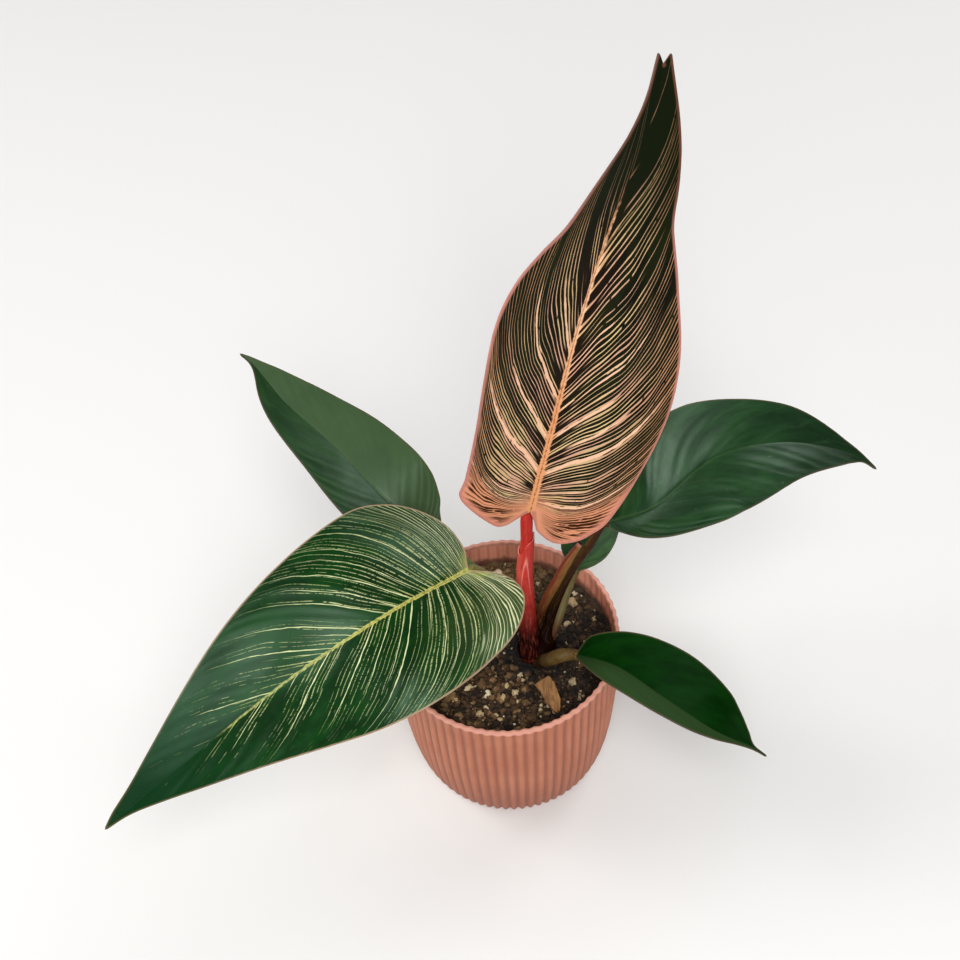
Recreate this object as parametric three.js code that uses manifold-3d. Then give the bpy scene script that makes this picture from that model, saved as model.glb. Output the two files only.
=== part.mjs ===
import * as THREE from 'three';
import Module from 'manifold-3d';
import { mergeVertices } from 'three/addons/utils/BufferGeometryUtils.js';

// A potted aroid with six leaves on stalks, in a ribbed pot.
// Millimetres, +Z up, origin at the centre of the pot's flat base, front of the plant towards -Y.

// Pot
const rimRadius = 45;
const potHeight = 80;
const baseRadius = 35.5;
const bellyTop = 78; // above this height the wall stands upright
const bellyPower = 2.25; // how full the wall's curve is
const potWall = 2.6;
const floorThickness = 4;
const floorRadius = 35.5;
const lipChamfer = 0.7;
const ribCount = 68;
const ribDepth = 0.8;

// Soil
const soilLevel = 68;
const soilEdge = 66.4; // where the soil meets the wall
const soilSegments = 48;
const grainCount = 34;
const grainReach = 36; // radius of the round area that they lie in
const grainClear = 13; // radius around the stem that they stay out of

// Short stem that carries every stalk
const stemCentre = [12.2, -1.4];
const stemRadius = 8.3;
const stemBottom = 50;
const stemTop = 73.4;

const gap = 0.3; // clearance between pieces that touch

const wasm = await Module();
wasm.setup();

// Random numbers between 0 and 1 that are the same every time
function seeded(seed) {
  let state = seed;
  return () => {
    state = (state * 1664525 + 1013904223) % 4294967296;
    return state / 4294967296;
  };
}

const vec = ([x, y, z]) => new THREE.Vector3(x, y, z);
const mix = (a, b, t) => a + (b - a) * t;
const ease = (t) => {
  const k = Math.min(Math.max(t, 0), 1);
  return k * k * (3 - 2 * k);
};

// Solids from vertices and faces

function closedGeometry(vertices, faces) {
  const numbers = vertices.flatMap((v) => v.toArray());
  const geometry = new THREE.BufferGeometry();
  geometry.setAttribute('position', new THREE.Float32BufferAttribute(numbers, 3));
  geometry.setIndex(faces.flat());
  return facingOut(geometry);
}

function facingOut(geometry) {
  const position = geometry.getAttribute('position');
  const index = geometry.index.array;
  const corner = (k) => new THREE.Vector3().fromBufferAttribute(position, index[k]);
  let volume = 0;
  for (let k = 0; k < index.length; k += 3) {
    volume += corner(k).dot(corner(k + 1).cross(corner(k + 2)));
  }
  if (volume < 0) {
    for (let k = 0; k < index.length; k += 3) {
      [index[k + 1], index[k + 2]] = [index[k + 2], index[k + 1]];
    }
  }
  geometry.computeVertexNormals();
  return geometry;
}

function toSolid(geometry) {
  const bare = geometry.clone();
  bare.deleteAttribute('normal');
  bare.deleteAttribute('uv');
  const merged = mergeVertices(bare, 1e-4);
  const index = merged.index.array;
  const triangles = [];
  for (let k = 0; k < index.length; k += 3) {
    const [a, b, c] = [index[k], index[k + 1], index[k + 2]];
    if (a !== b && b !== c && c !== a) {
      triangles.push(a, b, c);
    }
  }
  return new wasm.Manifold(new wasm.Mesh({
    numProp: 3,
    vertProperties: new Float32Array(merged.getAttribute('position').array),
    triVerts: new Uint32Array(triangles),
  }));
}

function toGeometry(solid) {
  const mesh = solid.getMesh();
  const geometry = new THREE.BufferGeometry();
  geometry.setAttribute('position', new THREE.BufferAttribute(mesh.vertProperties, 3));
  geometry.setIndex(new THREE.BufferAttribute(mesh.triVerts, 1));
  geometry.computeVertexNormals();
  return geometry;
}

function biggestPiece(solid) {
  return solid.decompose().sort((a, b) => b.volume() - a.volume())[0];
}

// Joins rings of equal count, one after another, with a flat cap at each end
function loft(rings) {
  const sides = rings[0].length;
  const vertices = rings.flat();
  const faces = [];
  for (let r = 0; r + 1 < rings.length; r += 1) {
    for (let s = 0; s < sides; s += 1) {
      const a = r * sides + s;
      const b = r * sides + ((s + 1) % sides);
      faces.push([a, b, b + sides], [a, b + sides, a + sides]);
    }
  }
  [0, rings.length - 1].forEach((r, end) => {
    const centre = vertices.length;
    const middle = new THREE.Vector3();
    rings[r].forEach((v) => middle.addScaledVector(v, 1 / sides));
    vertices.push(middle);
    for (let s = 0; s < sides; s += 1) {
      const a = r * sides + s;
      const b = r * sides + ((s + 1) % sides);
      faces.push(end ? [a, b, centre] : [b, a, centre]);
    }
  });
  return closedGeometry(vertices, faces);
}

// Pot

function potRadius(z) {
  const drop = Math.min(Math.max((bellyTop - z) / bellyTop, 0), 1);
  return baseRadius + (rimRadius - baseRadius) * (1 - drop ** bellyPower) ** (1 / bellyPower);
}

function potGeometry() {
  const profile = [[0, 0]];
  for (const z of [0, 1.2, 4.5, 11, 24, 46, potHeight - lipChamfer]) {
    profile.push([potRadius(z), z]);
  }
  profile.push([rimRadius - lipChamfer, potHeight], [rimRadius - potWall, potHeight]);
  profile.push([potRadius(38) - potWall, 38], [potRadius(12) - potWall, 12]);
  profile.push([floorRadius, floorThickness], [0, floorThickness]);
  const geometry = new THREE.LatheGeometry(profile.map(([r, z]) => new THREE.Vector2(r, z)), ribCount * 3);
  const position = geometry.getAttribute('position');
  for (let k = 0; k < position.count; k += 1) {
    const inGroove = Math.floor(k / profile.length) % 3 === 0;
    const radius = Math.hypot(position.getX(k), position.getZ(k));
    if (inGroove && radius > 1) {
      const scale = (radius - ribDepth) / radius;
      position.setX(k, position.getX(k) * scale);
      position.setZ(k, position.getZ(k) * scale);
    }
  }
  geometry.rotateX(Math.PI / 2);
  return facingOut(geometry);
}

// Soil, with its grains fused in

function soilHeight(x, y) {
  const swell = 0.6 * Math.sin(0.23 * x + 0.4) * Math.cos(0.19 * y - 0.7);
  const lumps = 0.55 * Math.sin(0.62 * x - 0.5 * y) + 0.45 * Math.sin(0.71 * y + 0.44 * x + 2);
  return soilLevel + swell + lumps;
}

function soilBed() {
  const clear = potWall + ribDepth + gap + 0.05;
  const bottom = floorThickness + gap + 0.1;
  const edge = potRadius(soilEdge) - clear;
  const profile = [[0, bottom], [floorRadius - ribDepth - gap - 0.1, bottom]];
  profile.push([potRadius(12) - clear, 12], [potRadius(38) - clear, 38], [edge, soilEdge]);
  for (const share of [0.93, 0.8, 0.66, 0.52, 0.38, 0.24, 0.11, 0]) {
    profile.push([edge * share, soilLevel]);
  }
  const geometry = new THREE.LatheGeometry(profile.map(([r, z]) => new THREE.Vector2(r, z)), soilSegments);
  geometry.rotateX(Math.PI / 2);
  const position = geometry.getAttribute('position');
  for (let k = 0; k < position.count; k += 1) {
    if (position.getZ(k) > soilLevel - 0.1) {
      position.setZ(k, soilHeight(position.getX(k), position.getY(k)));
    }
  }
  return toSolid(facingOut(geometry));
}

function grain(x, y, radius, random) {
  const geometry = new THREE.IcosahedronGeometry(radius, 0);
  geometry.scale(1, 0.7 + 0.3 * random(), 0.6 + 0.3 * random());
  geometry.rotateZ(2 * Math.PI * random());
  geometry.rotateX(0.7 * random());
  geometry.translate(x, y, soilHeight(x, y) + 0.25 * radius);
  return toSolid(geometry);
}

// x, y and radius of the grains that stand out
const largeGrains = [
  [-8.8, -20.2, 1.7], [-3, -22.5, 1.8], [2, -20.7, 1.3], [-15.8, -16.9, 1.9], [-12.2, -28.8, 1.5],
  [-6.4, -28.9, 1.2], [-21.6, -22.2, 1.4], [28.3, 18.8, 1.9], [25.3, 9.4, 1.5], [-0.5, 35.5, 1.6],
  [-4.5, 34, 1.5], [24.9, -17.5, 1.7],
];

function soilGeometry(cutters) {
  const random = seeded(11);
  let soil = soilBed();
  for (const [x, y, radius] of largeGrains) {
    soil = soil.add(grain(x, y, radius, random));
  }
  let placed = 0;
  while (placed < grainCount) {
    const around = 2 * Math.PI * random();
    const out = grainReach * Math.sqrt(random());
    const x = out * Math.cos(around);
    const y = out * Math.sin(around);
    if (Math.hypot(x - stemCentre[0], y - stemCentre[1]) > grainClear) {
      soil = soil.add(grain(x, y, 0.8 + 0.9 * random(), random));
      placed += 1;
    }
  }
  for (const cutter of cutters) {
    soil = soil.subtract(cutter);
  }
  return toGeometry(biggestPiece(soil));
}

// A chip of bark that lies on the soil, in a seat pressed into it

const chipOutline = [
  [-4.4, 3], [1.2, 6.6], [3.2, 3.4], [5, -3.4], [4.4, -8.4], [2.6, -9], [-1, -4.2], [-2.6, 0.6],
];
const chipThickness = 1.5;
const chipPlace = [14.2, -22.7, 69.9];
const chipTilt = [0.1, 0.12];

function chipGeometry(grow) {
  const cornerGrow = 1.6 * grow; // so that the sides, too, move out by at least grow
  const outline = new THREE.Shape(chipOutline.map(([x, y]) => {
    const scale = 1 + cornerGrow / Math.hypot(x, y);
    return new THREE.Vector2(x * scale, y * scale);
  }));
  const depth = chipThickness + 2 * grow;
  const geometry = new THREE.ExtrudeGeometry(outline, { depth, bevelEnabled: false });
  geometry.translate(0, 0, -grow);
  geometry.rotateX(chipTilt[0]);
  geometry.rotateY(chipTilt[1]);
  geometry.translate(...chipPlace);
  return geometry;
}

// Short stem

function stemGeometry(grow) {
  const profile = [
    [0, stemBottom - grow], [6 + grow, stemBottom - grow], [stemRadius + grow, stemBottom + 5],
    [stemRadius + grow, stemTop - 6], [stemRadius - 1.6 + grow, stemTop - 2],
    [stemRadius - 4.5 + grow, stemTop + grow], [0, stemTop + 0.4 + grow],
  ];
  const geometry = new THREE.LatheGeometry(profile.map(([r, z]) => new THREE.Vector2(r, z)), 20);
  geometry.rotateX(Math.PI / 2);
  geometry.scale(1.04, 0.92, 1);
  geometry.translate(stemCentre[0], stemCentre[1], 0);
  return facingOut(geometry);
}

// Leaf blades: a flat outline bent along its midrib, folded at the rib and curled across.
// midrib: points of the rib's upper face in space. face: where that face looks, at base and tip.
// roll: turn about the rib that lifts the right half, degrees. fold: rise of each half from the rib,
// degrees. curl: bend of a half over halfWidth, degrees. left, right: margin points as
// [distance along the rib, distance from it], from the notch at the stalk round the lobe to the tip.
// tipRib: where the rib ends. stub: thickness of the rib where the stalk meets it.

const blades = {
  tall: {
    midrib: [[12.7, 20, 131], [21, 26, 166], [32, 36, 210], [44, 47, 246], [56, 59, 271], [64, 76, 289]],
    face: [[0, -1, 0.25], [0.05, -1, 0.5]],
    roll: [-8, -26],
    fold: [16, 16],
    curl: [-8, -6],
    halfWidth: 36,
    left: [
      [0, 1.6], [-2.8, 5], [-5, 9.2], [-4.2, 14.1], [4.5, 24], [13.8, 31.2], [23, 30.6], [45, 31.3],
      [68, 33.4], [90, 35.3], [104, 33], [114, 27.2], [124, 19.4], [140, 13.2], [163, 5.3], [179.4, 3.9],
    ],
    right: [
      [0, 1.6], [-5.3, 2.9], [-9.8, 5], [-14, 12.2], [-11.4, 20.2], [-6.3, 25.3], [1.1, 29.9],
      [21.7, 35.3], [53, 40.4], [80, 38.2], [106, 30], [127, 21.6], [143, 17], [160, 10.6], [180.9, 1.8],
    ],
    tipRib: 176.5,
    stub: 3,
    rows: 22,
    spans: [0.07, 0.4, 0.72, 1],
  },
  front: {
    midrib: [
      [-12, 9, 112], [-35, -8, 119], [-57, -21, 118], [-85, -34, 108], [-124, -54, 90], [-154, -67, 72],
    ],
    face: [[-0.1, -0.2, 1], [-0.2, -0.35, 1]],
    roll: [4, 30],
    fold: [14, 10],
    curl: [-22, -14],
    halfWidth: 40,
    left: [
      [0, 1.5], [-5, 4.4], [-8.9, 8.6], [-11.2, 14.3], [-9.6, 21.8], [-0.2, 30.4], [14, 35.6], [34, 38.3],
      [57, 36.2], [85, 28.3], [114, 17.6], [145, 6.5], [160, 1.9], [172, 0.35],
    ],
    right: [
      [0, 1.5], [-2.6, 5.6], [-3.9, 11.5], [-3, 20.5], [3.8, 32.9], [12, 39.8], [24.5, 42.9], [45, 40.6],
      [70, 35.5], [95, 28], [118, 19.8], [149, 8.1], [165, 3.2], [172, 0.35],
    ],
    tipRib: 171,
    stub: 2.8,
    rows: 22,
    spans: [0.07, 0.4, 0.72, 1],
  },
  back: {
    midrib: [
      [-27, 36, 100], [-43, 46, 112], [-61, 66, 122], [-80, 85, 129], [-93, 105, 131], [-100, 114, 130],
    ],
    face: [[0, -0.5, 1], [0.1, -0.5, 1]],
    roll: [-16, -14],
    fold: [16, 14],
    curl: [-10, -8],
    halfWidth: 22,
    left: [
      [0, 1.3], [-3, 5.5], [-2, 10.5], [5, 15], [17, 18], [34, 18.4], [54, 16.5], [71, 12.9], [86, 8.1],
      [98, 3.2], [105.5, 1], [114, 0.3],
    ],
    right: [
      [0, 1.3], [-3, 4.5], [1.7, 9.9], [5.3, 14.9], [14, 20.4], [28, 22.4], [44, 20.8], [61, 16.7],
      [80, 12.6], [93, 8.1], [104, 3], [114, 0.3],
    ],
    tipRib: 113.2,
    stub: 2.6,
    rows: 17,
    spans: [0.1, 0.55, 1],
  },
  right: {
    midrib: [[42.6, 22, 117.6], [60, 19, 130], [83, 31, 140], [109, 37, 139], [135, 37, 130], [149, 33, 121]],
    face: [[-0.2, -0.3, 1], [0.2, -0.3, 1]],
    roll: [-8, -8],
    fold: [20, 16],
    curl: [-20, -10],
    halfWidth: 26,
    left: [
      [0, 1.3], [-2.5, 5.5], [-1, 11], [7, 17.5], [20, 22.6], [34, 24.6], [46, 23.7], [63, 18.6], [80, 14],
      [96, 7.5], [105, 3.7], [112, 1.7], [119.6, 0.4],
    ],
    right: [
      [0, 1.3], [1.5, 3.8], [8.1, 7], [19.2, 12.9], [36.2, 22], [50.5, 23.8], [63.4, 22.2], [76, 18],
      [92, 11.2], [101, 7.2], [108.5, 3.4], [113.5, 0.8], [119.6, 0.4],
    ],
    tipRib: 118.8,
    stub: 2.6,
    rows: 18,
    spans: [0.1, 0.55, 1],
  },
  low: {
    midrib: [[27, -14, 82], [41, -25, 89], [57, -38, 86], [75, -48, 76], [90, -50, 64], [97, -51, 56]],
    face: [[0.1, -0.2, 1], [0.5, -0.1, 1]],
    roll: [-12, -22],
    fold: [26, 22],
    curl: [-14, -10],
    halfWidth: 18,
    left: [
      [0, 1], [1.2, 3.4], [4.6, 7.9], [14, 12], [26, 16.8], [38, 18.9], [50, 18], [62.5, 14.8], [71, 10.2],
      [78, 5], [83.5, 1], [92.4, 0.35],
    ],
    right: [
      [0, 1], [2.4, 2.4], [9.4, 5.5], [17.1, 8], [24.4, 8.7], [38.1, 7.7], [52, 6.1], [65.1, 3.3], [73, 1.9],
      [80, 1.3], [85, 0.9], [92.4, 0.35],
    ],
    tipRib: 91.8,
    stub: 2.4,
    rows: 17,
    spans: [0.12, 0.55, 1],
  },
  hidden: {
    midrib: [[31, 23, 85], [37, 29, 97], [43, 38, 110], [47, 50, 117]],
    face: [[0, -1, 0.6], [0, -1, 1]],
    roll: [0, 0],
    fold: [14, 14],
    curl: [-10, -8],
    halfWidth: 12,
    left: [
      [0, 1], [0.7, 2], [3.2, 5.7], [5.8, 9], [10, 11.2], [19, 12], [30, 9.4], [40, 3.8], [45.5, 0.3],
    ],
    right: [
      [0, 1], [0.8, 1.6], [3, 3.8], [6.4, 6.3], [11, 8.4], [19, 9.3], [30, 7.6], [40, 3.3], [45.5, 0.3],
    ],
    tipRib: 44.8,
    stub: 2.2,
    rows: 11,
    spans: [0.14, 0.55, 1],
  },
};

const bladeThickness = 0.9;
const ridgeHalfWidth = 2; // of the midrib's ridge under the blade
const ridgeDepth = 1.44; // near the base of the blade, from where it tapers to the tip
const stubLength = 9; // over which the ridge thickens to meet the stalk

const ribCurves = new Map();

function ribCurve(blade) {
  if (!ribCurves.has(blade)) {
    const curve = new THREE.CatmullRomCurve3(blade.midrib.map(vec), false, 'catmullrom', 0.5);
    ribCurves.set(blade, { curve, length: curve.getLength() });
  }
  return ribCurves.get(blade);
}

function ribFrame(blade, x) {
  const { curve, length } = ribCurve(blade);
  const share = Math.min(Math.max(x / length, 0), 1);
  const tangent = curve.getTangentAt(share);
  const point = curve.getPointAt(share).addScaledVector(tangent, x - share * length);
  const face = vec(blade.face[0]).normalize().lerp(vec(blade.face[1]).normalize(), ease(share));
  const straight = face.addScaledVector(tangent, -face.dot(tangent)).normalize();
  const roll = THREE.MathUtils.degToRad(mix(blade.roll[0], blade.roll[1], ease(share)));
  const normal = straight.applyAxisAngle(tangent, -roll);
  return { point, tangent, normal, side: new THREE.Vector3().crossVectors(tangent, normal) };
}

// Upper face of a blade at x along the rib and y across it, left negative
function bladePoint(blade, x, y) {
  const { point, normal, side } = ribFrame(blade, x);
  const share = Math.min(Math.max(x / ribCurve(blade).length, 0), 1);
  const fold = THREE.MathUtils.degToRad(mix(blade.fold[0], blade.fold[1], share));
  const bend = THREE.MathUtils.degToRad(mix(blade.curl[0], blade.curl[1], share)) / blade.halfWidth;
  const away = Math.abs(y);
  const across = (Math.sin(fold + bend * away) - Math.sin(fold)) / bend;
  const rise = (Math.cos(fold) - Math.cos(fold + bend * away)) / bend;
  return point.addScaledVector(side, Math.sign(y) * across).addScaledVector(normal, rise);
}

function bladeNormal(blade, x, y) {
  if (Math.abs(y) < 0.01) {
    return ribFrame(blade, x).normal;
  }
  const step = 0.2;
  const along = bladePoint(blade, x + step, y).sub(bladePoint(blade, x - step, y));
  const across = bladePoint(blade, x, y + step * Math.sign(y)).sub(bladePoint(blade, x, y));
  return across.multiplyScalar(Math.sign(y)).cross(along).normalize();
}

function ribRidge(blade, x, y) {
  const share = Math.min(Math.max(x / ribCurve(blade).length, 0), 1);
  const stub = (blade.stub - ridgeDepth) * Math.exp(-Math.max(x, 0) / stubLength);
  const height = ridgeDepth * (1 - share) + stub;
  return height * Math.min(Math.max(1.25 - Math.abs(y) / ridgeHalfWidth, 0), 1);
}

// Flat place of a point: s runs along the margin from notch to tip, t from the rib to the margin.
// Each row of points follows a side vein, which leaves the rib and curves towards the tip.
function veinPoint(blade, margin, s, t) {
  const [edgeX, edgeY] = margin(s);
  const start = blade.tipRib * s ** 1.9;
  const bendX = mix(start, edgeX, 0.25);
  const bendY = 0.6 * edgeY;
  const x = (1 - t) ** 2 * start + 2 * t * (1 - t) * bendX + t * t * edgeX;
  const y = 2 * t * (1 - t) * bendY + t * t * edgeY;
  return [x, y];
}

function marginLine(points) {
  const flat = points.map(([x, y]) => new THREE.Vector3(x, y, 0));
  const curve = new THREE.CatmullRomCurve3(flat, false, 'catmullrom', 0.5);
  return (s) => curve.getPointAt(s).toArray();
}

function bladeGeometry(blade) {
  const { rows, spans } = blade;
  const columns = [...spans.map((t) => -t).reverse(), 0, ...spans];
  const margins = { left: marginLine(blade.left), right: marginLine(blade.right) };
  const upper = [];
  const lower = [];
  for (let row = 0; row <= rows; row += 1) {
    const s = (row / rows) ** 1.3;
    for (const column of columns) {
      const margin = column < 0 ? margins.left : margins.right;
      const [x, width] = veinPoint(blade, margin, s, Math.abs(column));
      const y = column < 0 ? -width : width;
      const top = bladePoint(blade, x, y);
      const depth = bladeThickness + ribRidge(blade, x, y);
      upper.push(top);
      lower.push(top.clone().addScaledVector(bladeNormal(blade, x, y), -depth));
    }
  }
  const wide = columns.length;
  const under = upper.length;
  const faces = [];
  for (let row = 0; row < rows; row += 1) {
    for (let column = 0; column + 1 < wide; column += 1) {
      const a = row * wide + column;
      const d = a + wide;
      faces.push([a, a + 1, d + 1], [a, d + 1, d]);
      faces.push([under + a, under + d + 1, under + a + 1], [under + a, under + d, under + d + 1]);
    }
  }
  const count = (length, point) => Array.from({ length }, (_, k) => point(k));
  const rim = [
    ...count(wide, (k) => k),
    ...count(rows, (k) => (k + 2) * wide - 1),
    ...count(wide - 1, (k) => (rows + 1) * wide - 2 - k),
    ...count(rows - 1, (k) => (rows - 1 - k) * wide),
  ];
  rim.forEach((a, k) => {
    const b = rim[(k + 1) % rim.length];
    faces.push([a, under + a, under + b], [a, under + b, b]);
  });
  return closedGeometry([...upper, ...lower], faces);
}

// Stalks: tapered tubes from the stem to the end of a blade's rib

// Middle of the rib's end face, a gap short of it, and the point before it in line with the rib
function stalkEnd(blade, reach) {
  const { point, tangent, normal } = ribFrame(blade, 0);
  const centre = point.addScaledVector(normal, -(bladeThickness + blade.stub) / 2);
  return [
    centre.clone().addScaledVector(tangent, -reach).toArray(),
    centre.clone().addScaledVector(tangent, -gap).toArray(),
  ];
}

const stalks = {
  tall: {
    path: [[9.1, -5.6, 68.5], [9.2, -2.7, 77], [9, 4.7, 94.5], [9.3, 10, 107.2], [10.6, 14.6, 118]],
    radii: [2.6, 2.55, 2.5, 2.4, 2.35, 2.3, 2.25, 2.25, 2.25, 2.4, 2.05],
    reach: 4,
  },
  front: {
    path: [[7.5, 1.5, 69], [7.4, 4.9, 80], [2.8, 7.4, 92], [-4, 9.6, 104]],
    radii: [1.8, 1.7, 1.7, 1.7, 1.8],
    reach: 3,
  },
  back: {
    path: [[9.7, 5.3, 68], [6, 9.4, 79], [-3, 17.5, 87], [-15, 27, 94.5]],
    radii: [1.8, 1.7, 1.7, 1.7, 1.7],
    reach: 4,
  },
  right: {
    path: [
      [16.2, -0.4, 70], [16.3, 1.9, 74.3], [19.1, 6.2, 82.4], [22.6, 10.1, 90.1], [28.1, 14.6, 99.2],
      [35.1, 18.8, 107.6],
    ],
    radii: [2.2, 2.1, 2, 1.85, 1.8, 1.7, 1.7],
    reach: 4,
  },
  low: {
    path: [[13, -7.5, 68.9], [15.8, -10.9, 74.6], [20.5, -12, 78.6]],
    radii: [2.5, 2.8, 2.7, 1.9],
    reach: 3,
  },
  hidden: {
    path: [[17.9, 3.4, 66.5], [21.2, 7.1, 72.5], [24.7, 13.6, 77.6], [26.7, 17.1, 80.4]],
    radii: [1.6, 1.6, 1.5, 1.4],
    reach: 3,
  },
};

function stalkPoints(name) {
  const { path, reach } = stalks[name];
  return [...path, ...stalkEnd(blades[name], reach)].map(vec);
}

function shareOf(list, t) {
  const place = t * (list.length - 1);
  const low = Math.min(Math.floor(place), list.length - 2);
  return mix(list[low], list[low + 1], place - low);
}

function rod(points, radii, sides, steps, grow = 0) {
  const curve = new THREE.CatmullRomCurve3(points, false, 'catmullrom', 0.5);
  const frames = curve.computeFrenetFrames(steps);
  const rings = [];
  for (let step = 0; step <= steps; step += 1) {
    const centre = curve.getPointAt(step / steps);
    if (step === 0 || step === steps) {
      centre.addScaledVector(frames.tangents[step], step === 0 ? -grow : grow);
    }
    const radius = shareOf(radii, step / steps) + grow;
    rings.push(Array.from({ length: sides }, (_, side) => {
      const angle = (2 * Math.PI * side) / sides;
      return centre.clone()
        .addScaledVector(frames.normals[step], radius * Math.cos(angle))
        .addScaledVector(frames.binormals[step], radius * Math.sin(angle));
    }));
  }
  return loft(rings);
}

function stalkGeometry(name, grow) {
  return rod(stalkPoints(name), stalks[name].radii, 10, 12, grow);
}

// Sheath: a thin sleeve around the tall leaf's stalk, with a slanted lip that rises to a point

const sheathStart = 0.05; // shares of the stalk's length
const sheathLip = [0.733, 0.837];
const sheathInner = [2.95, 2.8, 2.7];
const sheathOuter = [3.9, 3.65, 3.32];
const lipPeak = 0.1; // direction of the lip's point, radians from +X towards +Y

function sleevePoint(curve, share, angle, radius) {
  const centre = curve.getPointAt(share);
  const tangent = curve.getTangentAt(share);
  const across = new THREE.Vector3(1, 0, 0).addScaledVector(tangent, -tangent.x).normalize();
  const ahead = new THREE.Vector3().crossVectors(tangent, across);
  return centre
    .addScaledVector(across, radius * Math.cos(angle))
    .addScaledVector(ahead, radius * Math.sin(angle));
}

function sheathGeometry(grow) {
  const curve = new THREE.CatmullRomCurve3(stalkPoints('tall'), false, 'catmullrom', 0.5);
  const sides = 14;
  const steps = 7;
  const ring = (rise, radii, extra) => Array.from({ length: sides }, (_, side) => {
    const angle = (2 * Math.PI * side) / sides;
    const lip = mix(sheathLip[0], sheathLip[1], ((1 + Math.cos(angle - lipPeak)) / 2) ** 1.3);
    const share = mix(sheathStart, lip + (grow ? 0.01 : 0), rise);
    return sleevePoint(curve, share, angle, shareOf(radii, rise) + extra);
  });
  const rings = [];
  for (let step = 0; step <= steps; step += 1) {
    rings.push(ring(step / steps, sheathOuter, grow));
  }
  if (grow) {
    return loft(rings);
  }
  for (let step = steps; step >= 0; step -= 1) {
    rings.push(ring(step / steps, sheathInner, 0));
  }
  const vertices = rings.flat();
  const faces = [];
  rings.forEach((_, r) => {
    const next = ((r + 1) % rings.length) * sides;
    for (let side = 0; side < sides; side += 1) {
      const a = r * sides + side;
      const b = r * sides + ((side + 1) % sides);
      faces.push([a, b, next + ((side + 1) % sides)], [a, next + ((side + 1) % sides), next + side]);
    }
  });
  return closedGeometry(vertices, faces);
}

// Bract: a pointed leaf sheath that stands free beside the right leaf's stalk

const bractPath = [
  [11.8, 2.1, 70], [12.4, 3.6, 77.6], [15.8, 6.9, 86.3], [20.4, 10.1, 94.4], [26.1, 14.8, 103.2],
  [31.5, 18.2, 110.2],
];
const bractRadii = [1.8, 1.9, 1.9, 1.85, 1.8, 1];

function bractGeometry(grow) {
  return rod(bractPath.map(vec), bractRadii, 8, 12, grow);
}

// Assembly

const group = new THREE.Group();

function addPiece(name, geometry, color, roughness) {
  const material = new THREE.MeshStandardMaterial({ color, roughness, metalness: 0 });
  const mesh = new THREE.Mesh(geometry, material);
  mesh.name = name;
  group.add(mesh);
}

const stalkNames = Object.keys(stalks);
const sockets = stalkNames.map((name) => toSolid(stalkGeometry(name, gap)));
const sheathSocket = toSolid(sheathGeometry(gap));
const bractSocket = toSolid(bractGeometry(gap));

function cutStem() {
  let stem = toSolid(stemGeometry(0));
  for (const socket of [...sockets, sheathSocket, bractSocket]) {
    stem = stem.subtract(socket);
  }
  return toGeometry(biggestPiece(stem));
}

const chipSeat = toSolid(chipGeometry(gap));
const stemHole = toSolid(stemGeometry(gap));

addPiece('pot', potGeometry(), '#c98273', 0.6);
addPiece('soil', soilGeometry([stemHole, chipSeat, ...sockets, bractSocket]), '#2c211b', 0.95);
addPiece('bark_chip', chipGeometry(0), '#9a6f45', 0.85);
addPiece('stem', cutStem(), '#4a1a1e', 0.5);

const stalkColors = {
  tall: '#b3242a', front: '#7d8a3a', back: '#5c6a30', right: '#4a2418', low: '#85663c', hidden: '#b08a76',
};
for (const name of stalkNames) {
  addPiece(`stalk_${name}`, stalkGeometry(name, 0), stalkColors[name], 0.45);
}
addPiece('sheath', sheathGeometry(0), '#c84a50', 0.45);
addPiece('bract', bractGeometry(0), '#8c5a22', 0.45);

const bladeColors = {
  tall: '#b57a5c', front: '#2f5a2e', back: '#27512a', right: '#1c3a2a', low: '#1f4a22', hidden: '#2d5a35',
};
for (const [name, blade] of Object.entries(blades)) {
  addPiece(`blade_${name}`, bladeGeometry(blade), bladeColors[name], 0.3);
}

export default group;
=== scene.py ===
import bisect
import math
import random

import bmesh
import bpy
from mathutils import Matrix, Quaternion, Vector, kdtree, noise


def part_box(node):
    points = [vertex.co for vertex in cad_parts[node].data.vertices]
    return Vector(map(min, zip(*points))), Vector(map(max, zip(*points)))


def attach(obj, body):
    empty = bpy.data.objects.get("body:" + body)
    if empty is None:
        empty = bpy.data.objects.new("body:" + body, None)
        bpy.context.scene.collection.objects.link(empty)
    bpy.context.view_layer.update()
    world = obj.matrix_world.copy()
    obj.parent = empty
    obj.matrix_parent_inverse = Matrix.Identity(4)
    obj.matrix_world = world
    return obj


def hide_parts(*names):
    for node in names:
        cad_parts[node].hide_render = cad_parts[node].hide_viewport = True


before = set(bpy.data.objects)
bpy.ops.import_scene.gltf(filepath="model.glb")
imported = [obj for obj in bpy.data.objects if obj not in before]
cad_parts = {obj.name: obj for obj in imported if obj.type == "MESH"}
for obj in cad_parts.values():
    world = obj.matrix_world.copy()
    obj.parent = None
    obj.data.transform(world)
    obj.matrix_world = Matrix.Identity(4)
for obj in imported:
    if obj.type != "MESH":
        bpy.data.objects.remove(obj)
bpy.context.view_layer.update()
mm = 0.001  # sizes below are in millimetres, but places in the lights and from objectPlace are in metres
noise.seed_set(5)  # without it noise_vector starts from the clock, so chips and shreds would change
print("frame loaded:", len(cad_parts), "nodes")


# Small helpers

def mix(a, b, t):
    return a + (b - a) * t


def smooth(t):
    t = min(max(t, 0.0), 1.0)
    return t * t * (3 - 2 * t)


def color(red, green, blue):  # 0 to 255 as seen on screen, to the shader's linear values
    parts = []
    for part in (red, green, blue):
        part /= 255
        parts.append(part / 12.92 if part <= 0.04045 else ((part + 0.055) / 1.055) ** 2.4)
    return (*parts, 1.0)


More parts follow.
